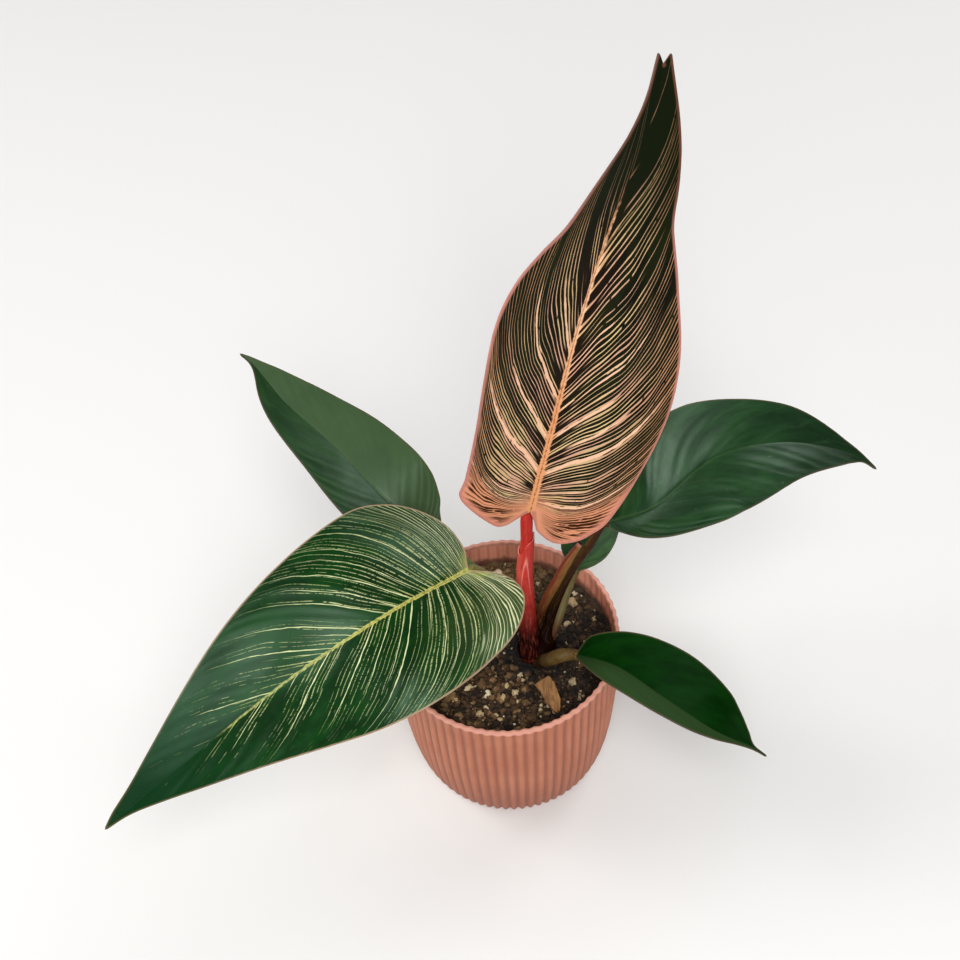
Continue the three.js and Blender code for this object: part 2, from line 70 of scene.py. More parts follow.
def splineSamples(points, perSpan=40):
    points = [Vector(p) for p in points]
    guides = [2 * points[0] - points[1], *points, 2 * points[-1] - points[-2]]
    samples = []
    for k in range(len(points) - 1):
        a, b, c, d = guides[k:k + 4]
        for step in range(perSpan):
            w = step / perSpan
            bend = (2 * a - 5 * b + 4 * c - d) * w ** 2 + (3 * b - a - 3 * c + d) * w ** 3
            samples.append(0.5 * (2 * b + (c - a) * w + bend))
    return samples + [points[-1]]


class MeasuredLine:  # a line that is walked by distance
    def __init__(self, samples):
        self.samples = samples
        self.marks = [0.0]
        for a, b in zip(samples, samples[1:]):
            self.marks.append(self.marks[-1] + (b - a).length)
        self.length = self.marks[-1]

    def at(self, distance):
        k = bisect.bisect_right(self.marks, distance) - 1
        k = min(max(k, 0), len(self.samples) - 2)
        w = (distance - self.marks[k]) / max(self.marks[k + 1] - self.marks[k], 1e-9)
        return self.samples[k].lerp(self.samples[k + 1], w)

    def heading(self, distance):
        step = 0.004 * self.length
        middle = min(max(distance, step), self.length - step)
        return (self.at(middle + step) - self.at(middle - step)).normalized()


# The piece rides on the root, and standsFor names the CAD node that it takes the place of
def makePiece(name, bm, materials, standsFor=None):
    mesh = bpy.data.meshes.new(name)
    bm.to_mesh(mesh)
    bm.free()
    for material in materials:
        mesh.materials.append(material)
    mesh.shade_smooth()
    piece = bpy.data.objects.new(name, mesh)
    bpy.context.scene.collection.objects.link(piece)
    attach(piece, "root")
    if standsFor:
        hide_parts(standsFor)
    return piece


def cleanUp(bm):
    bmesh.ops.remove_doubles(bm, verts=bm.verts, dist=1e-6)
    bmesh.ops.recalc_face_normals(bm, faces=bm.faces)


def spinProfile(profile, steps):  # profile: (radius, height) from the axis round to the axis
    bm = bmesh.new()
    verts = [bm.verts.new((0, -r * mm, z * mm)) for r, z in profile]
    edges = [bm.edges.new(pair) for pair in zip(verts, verts[1:])]
    bmesh.ops.spin(bm, geom=verts + edges, axis=(0, 0, 1), cent=(0, 0, 0), dvec=(0, 0, 0),
                   angle=2 * math.pi, steps=steps, use_merge=True)
    cleanUp(bm)
    return bm


# Shader helpers: newMaterial and newGroup open a node tree, and the others add to the tree opened last

building = {}
socketKinds = {"Vein": "Vector", "Vector": "Vector", "Color": "Color"}  # all others hold one number


class Value:  # the output of a node, which can stand in sums and products
    def __init__(self, socket):
        self.socket = socket

    def __add__(self, other):
        return calc("ADD", self, other)

    def __sub__(self, other):
        return calc("SUBTRACT", self, other)

    def __rsub__(self, other):
        return calc("SUBTRACT", other, self)

    def __mul__(self, other):
        return calc("MULTIPLY", self, other)

    def __rtruediv__(self, other):
        return calc("DIVIDE", other, self)

    def __abs__(self):
        return calc("ABSOLUTE", self)

    __radd__ = __add__
    __rmul__ = __mul__


def plug(socket, value):
    if isinstance(value, Value):
        building["tree"].links.new(value.socket, socket)
    else:
        socket.default_value = value


def makeNode(kind, inputs=(), **settings):
    node = building["tree"].nodes.new("ShaderNode" + kind)
    for key, value in settings.items():
        setattr(node, key, value)
    for key, value in dict(inputs).items():
        plug(node.inputs[key], value)
    return node


def addNode(kind, inputs=(), output=0, **settings):
    return Value(makeNode(kind, inputs, **settings).outputs[output])


def calc(operation, *values):
    return addNode("Math", enumerate(values), operation=operation)


def blendColor(factor, first, second, mode="MIX"):
    return addNode("Mix", {0: factor, 6: first, 7: second}, 2, data_type="RGBA", blend_type=mode)


def layered(surface, *layers):  # each layer: (share, color) over what lies below it
    for share, layer in layers:
        surface = blendColor(share, surface, layer)
    return surface


def remap(value, fromLow, fromHigh, toLow=0.0, toHigh=1.0, shape="SMOOTHSTEP"):
    values = (value, fromLow, fromHigh, toLow, toHigh)
    return addNode("MapRange", enumerate(values), interpolation_type=shape)


def threshold(value, middle, softness, *levels):
    return remap(value, middle - softness, middle + softness, *levels)


def ramp(value, low, high, stops):  # stops: (share of low to high, value), straight between them
    node = makeNode("ValToRGB", {"Fac": remap(value, low, high, shape="LINEAR")})
    band = node.color_ramp
    while len(band.elements) < len(stops):
        band.elements.new(0.5)
    for element, (place, level) in zip(band.elements, stops):
        element.position = place
        element.color = (level, level, level, 1)
    return Value(node.outputs["Color"])


def noiseAt(vector, scale, detail=2.0, roughness=0.5):
    return addNode("TexNoise", {"Vector": vector, "Scale": scale, "Detail": detail, "Roughness": roughness})


def veinNoise(s, t, where, across, along, detail, roughness=0.5):  # noise drawn out along the side veins
    return noiseAt(join(s * across, t * along, where), 1.0, detail, roughness)


def byHalf(half, levels):  # one level for the left half of a leaf, one for the right
    return remap(half, -0.5, 0.5, *levels)


def attribute(name):
    return addNode("Attribute", {}, "Vector", attribute_name=name)


def split(vector):
    return [Value(part) for part in makeNode("SeparateXYZ", {"Vector": vector}).outputs]


def join(x, y, z):
    return addNode("CombineXYZ", {"X": x, "Y": y, "Z": z})


def objectPlace():
    return addNode("TexCoord", {}, "Object")


def newMaterial(name, roughness, **sockets):
    material = bpy.data.materials.new(name)
    material.use_nodes = True
    building["tree"] = material.node_tree
    shader = material.node_tree.nodes["Principled BSDF"].inputs
    shader["Roughness"].default_value = roughness
    for key, value in sockets.items():
        shader[key.replace("_", " ")].default_value = value
    return material, shader


def coat(shader, surface, height, depth, rough=None):  # color, bump and, where it varies, roughness
    plug(shader["Base Color"], surface)
    if rough:
        plug(shader["Roughness"], rough)
    plug(shader["Normal"], addNode("Bump", {"Height": height, "Distance": depth * mm, "Strength": 1.0}))


def newGroup(name, inputs, outputs):
    tree = bpy.data.node_groups.new(name, "ShaderNodeTree")
    building["tree"] = tree
    for socket, value in inputs.items():
        kind = "NodeSocket" + socketKinds.get(socket, "Float")
        made = tree.interface.new_socket(socket, in_out="INPUT", socket_type=kind)
        if value is not None:
            made.default_value = value
    for socket in outputs:
        kind = "NodeSocket" + socketKinds.get(socket, "Float")
        tree.interface.new_socket(socket, in_out="OUTPUT", socket_type=kind)
    given = {part.name: Value(part) for part in tree.nodes.new("NodeGroupInput").outputs}
    return tree, given, tree.nodes.new("NodeGroupOutput").inputs


def useGroup(group, inputs):
    return {part.name: Value(part) for part in makeNode("Group", inputs, node_tree=group).outputs}


# Pinstripes: broken lines that follow the side veins.
# Vein holds the place across the veins, the place along them and the half of the leaf.
def buildPinstripes():
    tree, given, result = newGroup("pinstripes", {
        "Vein": None, "Count": 50.0, "Width": 0.4, "Variety": 0.6, "Breaks": 0.4, "Dash Length": 20.0,
        "Wiggle": 0.6, "Softness": 0.1, "Thinning": 0.0, "Branching": 0.0, "Speckle": 0.0, "Seed": 0.0,
    }, ["Mask", "Chance"])
    s, t, half = split(given["Vein"])
    where = calc("GREATER_THAN", half, 0.0) * 13.7 + given["Seed"]
    drift = veinNoise(s, t, where, 9.0, 3.2, 1.0)
    place = (drift - 0.5) * given["Wiggle"] + s * given["Count"]
    line = calc("ROUND", place)
    offset = abs(place - line) * 2.0
    chance = addNode("TexWhiteNoise", {"Vector": join(line, where, 0.0)}, "Value")
    variety = (chance - 0.5) * given["Variety"] + 0.5
    swell = remap(veinNoise(line, t, where, 7.31, 6.0, 3.0), 0.3, 0.7, 0.55, 1.45, "LINEAR")
    width = given["Width"] * (variety * 2.0) * swell
    stripe = threshold(offset, width, given["Softness"], 1.0, 0.0)
    dash = veinNoise(line, t, where, 3.77, given["Dash Length"], 2.0, 0.6)
    stripe = stripe * threshold(dash, given["Breaks"], 0.05)
    speck = veinNoise(line, t, where, 5.13, 110.0, 1.0)
    stripe = stripe * remap(speck, given["Speckle"] - 0.08, given["Speckle"])
    stripe = stripe * threshold(chance, given["Thinning"], 0.04)
    start = (calc("FRACT", chance * 17.0) - 0.4) * given["Branching"]
    plug(result["Mask"], stripe * remap(t, start - 0.08, start))
    plug(result["Chance"], chance)
    return tree


# One stripe along a side vein, at a place across the veins of one half (-1 left, 1 right)
def buildStroke():
    tree, given, result = newGroup("stroke", {
        "Vein": None, "Half": 1.0, "Place": 0.5, "Width": 0.01, "Start": 0.0, "End": 0.6, "Rough": 1.0,
    }, ["Mask"])
    s, t, half = split(given["Vein"])
    taper = remap(t, given["Start"], given["End"], 1.0, 0.35, "LINEAR")
    width = given["Width"] * given["Rough"] * taper
    mask = remap(abs(s - given["Place"]), width, width * 0.5)
    mask = mask * calc("GREATER_THAN", half * given["Half"], -0.5)
    mask = mask * remap(t, given["Start"] - 0.02, given["Start"])
    plug(result["Mask"], mask * remap(t, given["End"] - 0.2, given["End"], 1.0, 0.0))
    return tree


# Mottling: streaks and patches of another green that follow the veins
def buildMottling():
    tree, given, result = newGroup("mottling", {
        "Vein": None, "Streaks": 12.0, "Along": 2.5, "Contrast": 0.12, "Seed": 0.0,
    }, ["Mask"])
    s, t, half = split(given["Vein"])
    patch = veinNoise(s, t, half * 5.3 + given["Seed"], given["Streaks"], given["Along"], 5.0, 0.62)
    plug(result["Mask"], threshold(patch, 0.5, given["Contrast"]))
    return tree


# Fine grain, used for bump and for small changes of roughness
def buildGrain():
    tree, given, result = newGroup("grain", {"Vector": None, "Size": 1.0}, ["Coarse", "Fine"])
    scale = 1000.0 / given["Size"]
    plug(result["Coarse"], noiseAt(given["Vector"], scale * 0.12, 3.0))
    plug(result["Fine"], noiseAt(given["Vector"], scale, 4.0, 0.65))
    return tree


pinstripes = buildPinstripes()
stroke = buildStroke()
mottling = buildMottling()
grain = buildGrain()


# Leaf blades
# midrib: points of the rib's upper face. face: where that face looks, at base and tip.
# roll lifts the right half, fold lifts each half from the rib, curl bends a half over halfWidth, degrees.
# left, right: margin as (distance along the rib, distance from it), from the stalk round the lobe.
# fanEnd, fanPower, lag, pull, sweep: how the side veins leave the rib and run towards the tip.

plainBlade = {"fanPower": 2.2, "lag": (0.12, 0.02), "pull": 0.8, "sweep": 1}

blades = {
    "tall": {
        "midrib": [
            (12.7, 20, 131), (21, 26, 166), (32, 36, 210), (44, 47, 246), (56, 59, 271), (64, 76, 289),
        ],
        "face": [(0, -1, 0.25), (0.05, -1, 0.5)], "roll": (-8, -26), "fold": (16, 16), "curl": (-8, -6),
        "halfWidth": 36, "tip": 176.5, "stub": 3.0, "fanEnd": 128, "fanPower": 2.3, "lag": (0.16, 0.16),
        "pull": 0.78, "sweep": 5, "ribWidth": 1.5, "ribHeight": 0.45, "sideVeins": 13, "veinDepth": 0.1,
        "wave": 0.35,
        "left": [
            (0, 1.6), (-2.8, 5), (-5, 9.2), (-4.2, 14.1), (4.5, 24), (13.8, 31.2), (23, 30.6),
            (45, 31.3), (68, 33.4), (90, 35.3), (104, 33), (114, 27.2), (124, 19.4), (140, 13.2),
            (163, 5.3), (179.4, 3.9),
        ],
        "right": [
            (0, 1.6), (-5.3, 2.9), (-9.8, 5), (-14, 12.2), (-11.4, 20.2), (-6.3, 25.3), (1.1, 29.9),
            (21.7, 35.3), (53, 40.4), (80, 38.2), (106, 30), (127, 21.6), (143, 17), (160, 10.6),
            (180.9, 1.8),
        ],
    },
    "front": {
        "midrib": [
            (-12, 9, 112), (-35, -8, 119), (-57, -21, 118), (-85, -34, 108), (-124, -54, 90),
            (-154, -67, 72),
        ],
        "face": [(-0.1, -0.2, 1), (-0.2, -0.35, 1)], "roll": (4, 30), "fold": (14, 10),
        "curl": (-22, -14), "halfWidth": 40, "tip": 172, "stub": 2.8, "fanEnd": 158, "fanPower": 2.5,
        "lag": (0.17, 0.01), "pull": 0.8, "sweep": 1.5, "ribWidth": 1.1, "ribHeight": -0.3,
        "sideVeins": 12, "veinDepth": 0.22, "wave": 0.5,
        "left": [
            (0, 1.5), (-5, 4.4), (-8.9, 8.6), (-11.2, 14.3), (-9.6, 21.8), (-0.2, 30.4), (14, 35.6),
            (34, 38.3), (57, 36.2), (85, 28.3), (114, 17.6), (145, 6.5), (160, 1.9), (172, 0.35),
        ],
        "right": [
            (0, 1.5), (-2.6, 5.6), (-3.9, 11.5), (-3, 20.5), (3.8, 32.9), (12, 39.8), (24.5, 42.9),
            (45, 40.6), (70, 35.5), (95, 28), (118, 19.8), (149, 8.1), (165, 3.2), (172, 0.35),
        ],
    },
    "back": {
        **plainBlade,
        "midrib": [
            (-27, 36, 100), (-43, 46, 112), (-61, 66, 122), (-80, 85, 129), (-93, 105, 131),
            (-100, 114, 130),
        ],
        "face": [(0, -0.5, 1), (0.1, -0.5, 1)], "roll": (-16, -14), "fold": (16, 14), "curl": (-10, -8),
        "halfWidth": 22, "tip": 114, "stub": 2.6, "fanEnd": 100, "ribWidth": 0.7, "ribHeight": -0.25,
        "sideVeins": 10, "veinDepth": 0.14, "wave": 0.35,
        "left": [
            (0, 1.3), (-3, 5.5), (-2, 10.5), (5, 15), (17, 18), (34, 18.4), (54, 16.5), (71, 12.9),
            (86, 8.1), (98, 3.2), (105.5, 1), (114, 0.3),
        ],
        "right": [
            (0, 1.3), (-3, 4.5), (1.7, 9.9), (5.3, 14.9), (14, 20.4), (28, 22.4), (44, 20.8), (61, 16.7),
            (80, 12.6), (93, 8.1), (104, 3), (114, 0.3),
        ],
    },
    "right": {
        **plainBlade,
        "midrib": [
            (42.6, 22, 117.6), (60, 19, 130), (83, 31, 140), (109, 37, 139), (135, 37, 130), (149, 33, 121),
        ],
        "face": [(-0.2, -0.3, 1), (0.2, -0.3, 1)], "roll": (-8, -8), "fold": (20, 16),
        "curl": (-20, -10), "halfWidth": 26, "tip": 119.6, "stub": 2.6, "fanEnd": 106, "ribWidth": 0.8,
        "ribHeight": -0.3, "sideVeins": 9, "veinDepth": 0.26, "wave": 0.5,
        "left": [
            (0, 1.3), (-2.5, 5.5), (-1, 11), (7, 17.5), (20, 22.6), (34, 24.6), (46, 23.7), (63, 18.6),
            (80, 14), (96, 7.5), (105, 3.7), (112, 1.7), (119.6, 0.4),
        ],
        "right": [
            (0, 1.3), (1.5, 3.8), (8.1, 7), (19.2, 12.9), (36.2, 22), (50.5, 23.8), (63.4, 22.2),
            (76, 18), (92, 11.2), (101, 7.2), (108.5, 3.4), (113.5, 0.8), (119.6, 0.4),
        ],
    },
    "low": {
        **plainBlade,
        "midrib": [
            (27, -14, 82), (41, -25, 89), (57, -38, 86), (75, -48, 76), (90, -50, 64), (97, -51, 56),
        ],
        "face": [(0.1, -0.2, 1), (0.5, -0.1, 1)], "roll": (-12, -22), "fold": (26, 22),
        "curl": (-14, -10), "halfWidth": 18, "tip": 92.4, "stub": 2.4, "fanEnd": 82, "ribWidth": 0.7,
        "ribHeight": -0.2, "sideVeins": 8, "veinDepth": 0.05, "wave": 0.3,
        "left": [
            (0, 1), (1.2, 3.4), (4.6, 7.9), (14, 12), (26, 16.8), (38, 18.9), (50, 18), (62.5, 14.8),
            (71, 10.2), (78, 5), (83.5, 1), (92.4, 0.35),
        ],
        "right": [
            (0, 1), (2.4, 2.4), (9.4, 5.5), (17.1, 8), (24.4, 8.7), (38.1, 7.7), (52, 6.1), (65.1, 3.3),
            (73, 1.9), (80, 1.3), (85, 0.9), (92.4, 0.35),
        ],
    },
    "hidden": {
        **plainBlade,
        "midrib": [(31, 23, 85), (37, 29, 97), (43, 38, 110), (47, 50, 117)],
        "face": [(0, -1, 0.6), (0, -1, 1)], "roll": (0, 0), "fold": (14, 14), "curl": (-10, -8),
        "halfWidth": 12, "tip": 45.5, "stub": 2.2, "fanEnd": 40, "fanPower": 2.0, "lag": (0.1, 0.02),
        "ribWidth": 0.5, "ribHeight": -0.15, "sideVeins": 6, "veinDepth": 0.12, "wave": 0.2,
        "left": [
            (0, 1), (0.7, 2), (3.2, 5.7), (5.8, 9), (10, 11.2), (19, 12), (30, 9.4), (40, 3.8), (45.5, 0.3),
        ],
        "right": [
            (0, 1), (0.8, 1.6), (3, 3.8), (6.4, 6.3), (11, 8.4), (19, 9.3), (30, 7.6), (40, 3.3),
            (45.5, 0.3),
        ],
    },
}

bladeSheet = {
    "thickness": 0.9,
    "marginThickness": 0.62,
    "ridge": 1.44,  # depth of the rib's ridge under the blade, near the base
    "ridgeHalfWidth": 2.0,
    "stubLength": 9.0,
    "rowsPerMm": 0.85,
    "columns": 30,
}


def measureBlade(leaf):
    leaf["rib"] = MeasuredLine(splineSamples(leaf["midrib"]))
    leaf["looks"] = [Vector(face).normalized() for face in leaf["face"]]
    closing = Vector((leaf["tip"], 0, 0))
    for side in ("left", "right"):
        leaf[side + "Margin"] = MeasuredLine(splineSamples([(x, y, 0) for x, y in leaf[side]]) + [closing])


def ribFrame(leaf, x):
    share = min(max(x / leaf["rib"].length, 0), 1)
    tangent = leaf["rib"].heading(x)
    face = leaf["looks"][0].lerp(leaf["looks"][1], smooth(share))
    normal = (face - tangent * face.dot(tangent)).normalized()
    normal = Quaternion(tangent, -math.radians(mix(*leaf["roll"], smooth(share)))) @ normal
    return leaf["rib"].at(x), normal, tangent.cross(normal), share


def bladePoint(leaf, x, y):  # point of the smooth upper face, and where that face looks
    point, normal, side, share = ribFrame(leaf, x)
    fold = math.radians(mix(*leaf["fold"], share))
    bend = math.radians(mix(*leaf["curl"], share)) / leaf["halfWidth"]
    away = abs(y)
    across = (math.sin(fold + bend * away) - math.sin(fold)) / bend
    rise = (math.cos(fold) - math.cos(fold + bend * away)) / bend
    lean = (fold + bend * away) * smooth(away / 4)
    looks = normal * math.cos(lean) - side * math.copysign(math.sin(lean), y)
    return point + side * math.copysign(across, y) + normal * rise, looks


def veinPoint(leaf, margin, s, t):
    edge = margin.at(s * margin.length)
    start = leaf["fanEnd"] * s ** leaf["fanPower"] + (leaf["tip"] - leaf["fanEnd"]) * s ** 14
    lag = mix(*leaf["lag"], s) * (1 - s ** 6) * min(1, s / 0.3)
    guide = margin.at(max(s - lag, 0) * margin.length)
    guide = Vector((start, 0, 0)).lerp(guide, leaf["pull"])
    spot = Vector((start, 0, 0)) * (1 - t) ** 2 + guide * 2 * t * (1 - t) + edge * t * t
    spot.x -= min(leaf["sweep"], 0.25 * start) * max(1 - t / 0.25, 0) ** 2 * (1 - s ** 6)
    return spot


def bladeRelief(leaf, x, y, s, t):
    ribFade = smooth(1 - x / leaf["fanEnd"]) * min(1, (1 - t) * 8)
    rib = leaf["ribHeight"] * math.exp(-(y / (leaf["ribWidth"] * mix(1.0, 0.5, x / leaf["fanEnd"]))) ** 2)
    phase = leaf["sideVeins"] * s ** 0.9 + 0.12 * math.sin(9 * s + (3 if y < 0 else 0))
    groove = math.exp(-((phase % 1 - 0.5) / 0.13) ** 2)
    pillow = 0.6 * math.cos(2 * math.pi * phase)
    fade = smooth(t / 0.25) * smooth((1 - t) / 0.3) * smooth((1 - s) / 0.2)
    roll = noise.noise(Vector((x / 21, y / 15, leaf["halfWidth"]))) * leaf["wave"] * smooth(abs(y) / 8)
    return rib * ribFade - leaf["veinDepth"] * (groove + pillow) * fade + roll


def bladeDepth(leaf, x, y, t):
    share = min(max(x / leaf["rib"].length, 0), 1)
    ridge = bladeSheet["ridge"] * (1 - share)
    ridge += (leaf["stub"] - bladeSheet["ridge"]) * math.exp(-max(x, 0) / bladeSheet["stubLength"])
    ridge *= min(max(1.25 - abs(y) / bladeSheet["ridgeHalfWidth"], 0), 1)
    return mix(bladeSheet["thickness"], bladeSheet["marginThickness"], smooth(t)) + ridge


def bladeEdges(leaf):
    spots = [(p.x, sign * p.y, 0) for side, sign in (("left", -1), ("right", 1))
             for p in leaf[side + "Margin"].samples]
    edges = kdtree.KDTree(len(spots))
    for k, spot in enumerate(spots):
        edges.insert(spot, k)
    edges.balance()
    return edges


# A grid that is extruded into a sheet: columns from margin to margin, each row along a side vein
def buildBlade(name, materials):  # materials: upper face, underside, rim
    leaf = blades[name]
    measureBlade(leaf)
    edges = bladeEdges(leaf)
    rows = int(leaf["rightMargin"].length * bladeSheet["rowsPerMm"])
    bm = bmesh.new()
    vein = bm.verts.layers.float_vector.new("vein")
    flat = bm.verts.layers.float_vector.new("flat")
    bmesh.ops.create_grid(bm, x_segments=2 * bladeSheet["columns"], y_segments=rows, size=0.5)
    upper = bm.faces[:]
    made = bmesh.ops.extrude_face_region(bm, geom=bm.faces[:])["geom"]
    lower = {item for item in made if isinstance(item, bmesh.types.BMVert)}
    for face in bm.faces:
        face.material_index = 2
    for item in made:
        if isinstance(item, bmesh.types.BMFace):
            item.material_index = 1
    for face in upper:
        face.material_index = 0
    for vert in bm.verts:
        across = 2 * vert.co.x
        t = 0.5 - 0.5 * math.cos(math.pi * min(abs(across), 1))
        s = min(max(vert.co.y + 0.5, 0), 1) ** 1.2
        sign = -1 if across < -1e-6 else 1
        spot = veinPoint(leaf, leaf["leftMargin" if sign < 0 else "rightMargin"], s, t)
        x, y = spot.x, sign * spot.y
        vert[vein] = (s, t, 0 if t < 1e-6 else sign)
        vert[flat] = (x, y, edges.find((x, y, 0))[2])
        point, looks = bladePoint(leaf, x, y)
        lift = -bladeDepth(leaf, x, y, t) if vert in lower else bladeRelief(leaf, x, y, s, t)
        vert.co = (point + looks * lift) * mm
    cleanUp(bm)
    makePiece("leaf_" + name, bm, materials, "blade_" + name)


# Leaf finishes

def strokesAt(vein, strokes, scale=1.0):  # strokes: (half, place, width, end, and start if not 0)
    s, t, half = split(vein)
    s = (veinNoise(s, t, half, 14.0, 5.0, 2.0) - 0.5) * 0.012 + s
    rough = remap(veinNoise(s, t, half, 60.0, 14.0, 3.0), 0.3, 0.7, 0.45, 1.55, "LINEAR")
    shared = {"Vein": join(s, t, half), "Rough": rough}
    mask = 0.0
    for side, place, width, end, *start in strokes:
        own = {"Half": side, "Place": place, "Width": scale * width, "Start": sum(start), "End": end}
        mask = calc("MAXIMUM", mask, useGroup(stroke, {**shared, **own})["Mask"])
    return mask


def leafShader(name, look):
    sockets = {"Specular_IOR_Level": look["gloss"], "Specular_Tint": look["sheen"]}
    return newMaterial(name, look["roughness"], **sockets)


def stripedMaterial(name, look):
    material, shader = leafShader(name, look)
    vein = attribute("vein")
    s, t, half = split(vein)
    x, y, edge = split(attribute("flat"))
    away = abs(y)
    coverRange = (x, look["coverFrom"], look["coverTo"])
    tipShare = remap(x, *look["tipFade"])
    beforeTip = remap(x, *look["tipFade"], 1.0, 0.0)
    # green between the stripes, with a painted sheen laid near the base of the left half
    patch = useGroup(mottling, {"Vein": vein, "Streaks": 14.0, "Along": 3.0, "Contrast": 0.16})["Mask"]
    ribShade = remap(away, 1.0, 12.0, look["ribGround"], 0.0) * beforeTip
    paintedSheen = byHalf(half, look["paintedSheenShare"]) * remap(x, 8.0, 42.0, 1.0, 0.0) * remap(t, 0.1, 0.35)
    ground = layered(look["dark"], (patch, look["ground"]), (tipShare, look["tip"]),
                     (ribShade, look["ribShade"]), (paintedSheen, look["lobeGroundAndSheen"]))
    # fine stripes, which merge in the bands
    bands = strokesAt(vein, look["bands"])
    cloud = veinNoise(s, t, half, look["clouds"], 2.2, 3.0)
    cover = ramp(*coverRange, look["cover"]) * remap(cloud, 0.35, 0.65, *look["cloudWidths"])
    higher = remap(x, 45.0, 85.0)
    lower = byHalf(half, look["halfWidths"]) * (1.0 - higher)
    cover = cover * (byHalf(half, look["upperWidths"]) * higher + lower)
    cover = cover + remap(away, *look["ribGlow"], look["ribGlowWidth"], 0.0) * beforeTip
    cover = bands * look["bandWidth"] + cover
    thinned = byHalf(half, look["baseThinning"]) * remap(x, 10.0, 70.0, 1.0, 0.0)
    thinned = calc("MAXIMUM", thinned, ramp(*coverRange, look["thinning"]))
    fine = useGroup(pinstripes, {
        "Vein": vein, "Count": look["fineCount"], "Width": cover, "Variety": look["variety"],
        "Breaks": ramp(*coverRange, look["breaks"]), "Dash Length": look["dashes"],
        "Wiggle": remap(x, 85.0, 135.0, look["wiggle"], 0.3), "Softness": look["softness"],
        "Thinning": thinned, "Branching": look["branching"], "Speckle": look["speckle"], "Seed": 2.0,
    })
    fade = fine["Chance"] * -look["fadeByLine"] + 1.0
    fade = fade * remap(x, *look["tipFade"], 1.0, look["tipStripes"])
    kept = 1.0 - remap(x, 42.0, 88.0) * remap(t, 0.35, 0.8, 0.0, look["farFade"])
    stripes = fine["Mask"] * calc("MAXIMUM", fade, bands) * kept
    outward = remap(t, *look["turnOuter"])
    tint = remap(veinNoise(s, t, half, 22.0, 2.5, 2.0), 0.4, 0.6)
    byRib = remap(away, *look["ribGlow"], 0.6, 0.0)
    lineColor = layered(look["stripeInner"], (tint, look["stripeTint"]), (outward, look["stripeOuter"]),
                        (byRib, look["rib"]), (bands, look["bandColor"]))
    # lobes at the base: a ground of their own under dashes. On the cream leaf the left lobe's ground is
    # lighter as a painted sheen
    dashes = useGroup(pinstripes, {
        "Vein": vein, "Count": look["lobeCount"], "Width": byHalf(half, look["lobeWidths"]),
        "Variety": 0.9, "Breaks": look["lobeBreaks"], "Dash Length": 6.5, "Wiggle": look["lobeWiggle"],
        "Softness": 0.16, "Seed": 11.0,
    })["Mask"]
    lobeRim = remap(edge, *look["lobeRimReach"], 0.85, 0.0)
    lobe = layered(look["lobeGroundAndSheen"], (remap(half, -0.5, 0.5), look["lobeFar"]),
                   (dashes, look["lobeDash"]), (lobeRim, look["lobeRim"]))
    lobeShare = remap((cloud - 0.5) * 0.2 + s, *look["lobeEnd"]) * (1.0 - bands)
    # single long stripes
    singles = strokesAt(vein, look["singles"], look["singleWidth"]) * (kept * look["singleShare"])
    singleColor = blendColor(outward, look["singleInner"], look["singleOuter"])
    # base, rib and margin
    base = remap(x, *look["baseFade"], 1.0, 0.0) * remap(away, *look["baseReach"], 1.0, 0.0)
    rag = (noiseAt(attribute("flat"), 0.7, 3.0) - 0.5) * remap(x, 20.0, 100.0, 1.0, 0.45)
    ribWidth = remap(x, 0.0, look["ribEnd"], *look["ribWidths"], "LINEAR")
    ribWidth = fine["Mask"] * look["ribFlow"] + (rag * look["ribRag"] + ribWidth)
    ribMask = threshold(away, ribWidth, 0.3, 1.0, 0.0)
    ribMask = ribMask * remap(x, look["ribEnd"] - 12, look["ribEnd"], 1.0, 0.0)
    ribColor = blendColor(remap(x, 45.0, 95.0), look["rib"], look["ribTop"])
    ribColor = blendColor(remap(rag * 1.6 + away, -0.1, 0.45), look["ribLine"], ribColor)
    rim = remap(edge, *look["marginReach"], 1.0, 0.0) * look["marginShare"]
    rimColor = blendColor(tipShare, look["margin"], look["marginTip"])
    surface = layered(
        ground, (stripes, lineColor), (lobeShare, lobe), (singles, singleColor),
        (base * look["baseShare"], look["baseColor"]), (ribMask, ribColor), (rim, rimColor),
    )
    marks = calc("MAXIMUM", stripes, singles)
    speckle = useGroup(grain, {"Vector": objectPlace(), "Size": 0.5})
    rough = marks * 0.12 + (speckle["Coarse"] * 0.16 + (look["roughness"] - 0.08))
    coat(shader, surface, speckle["Fine"] * 0.8 + marks, look["bump"], rough)
    return material
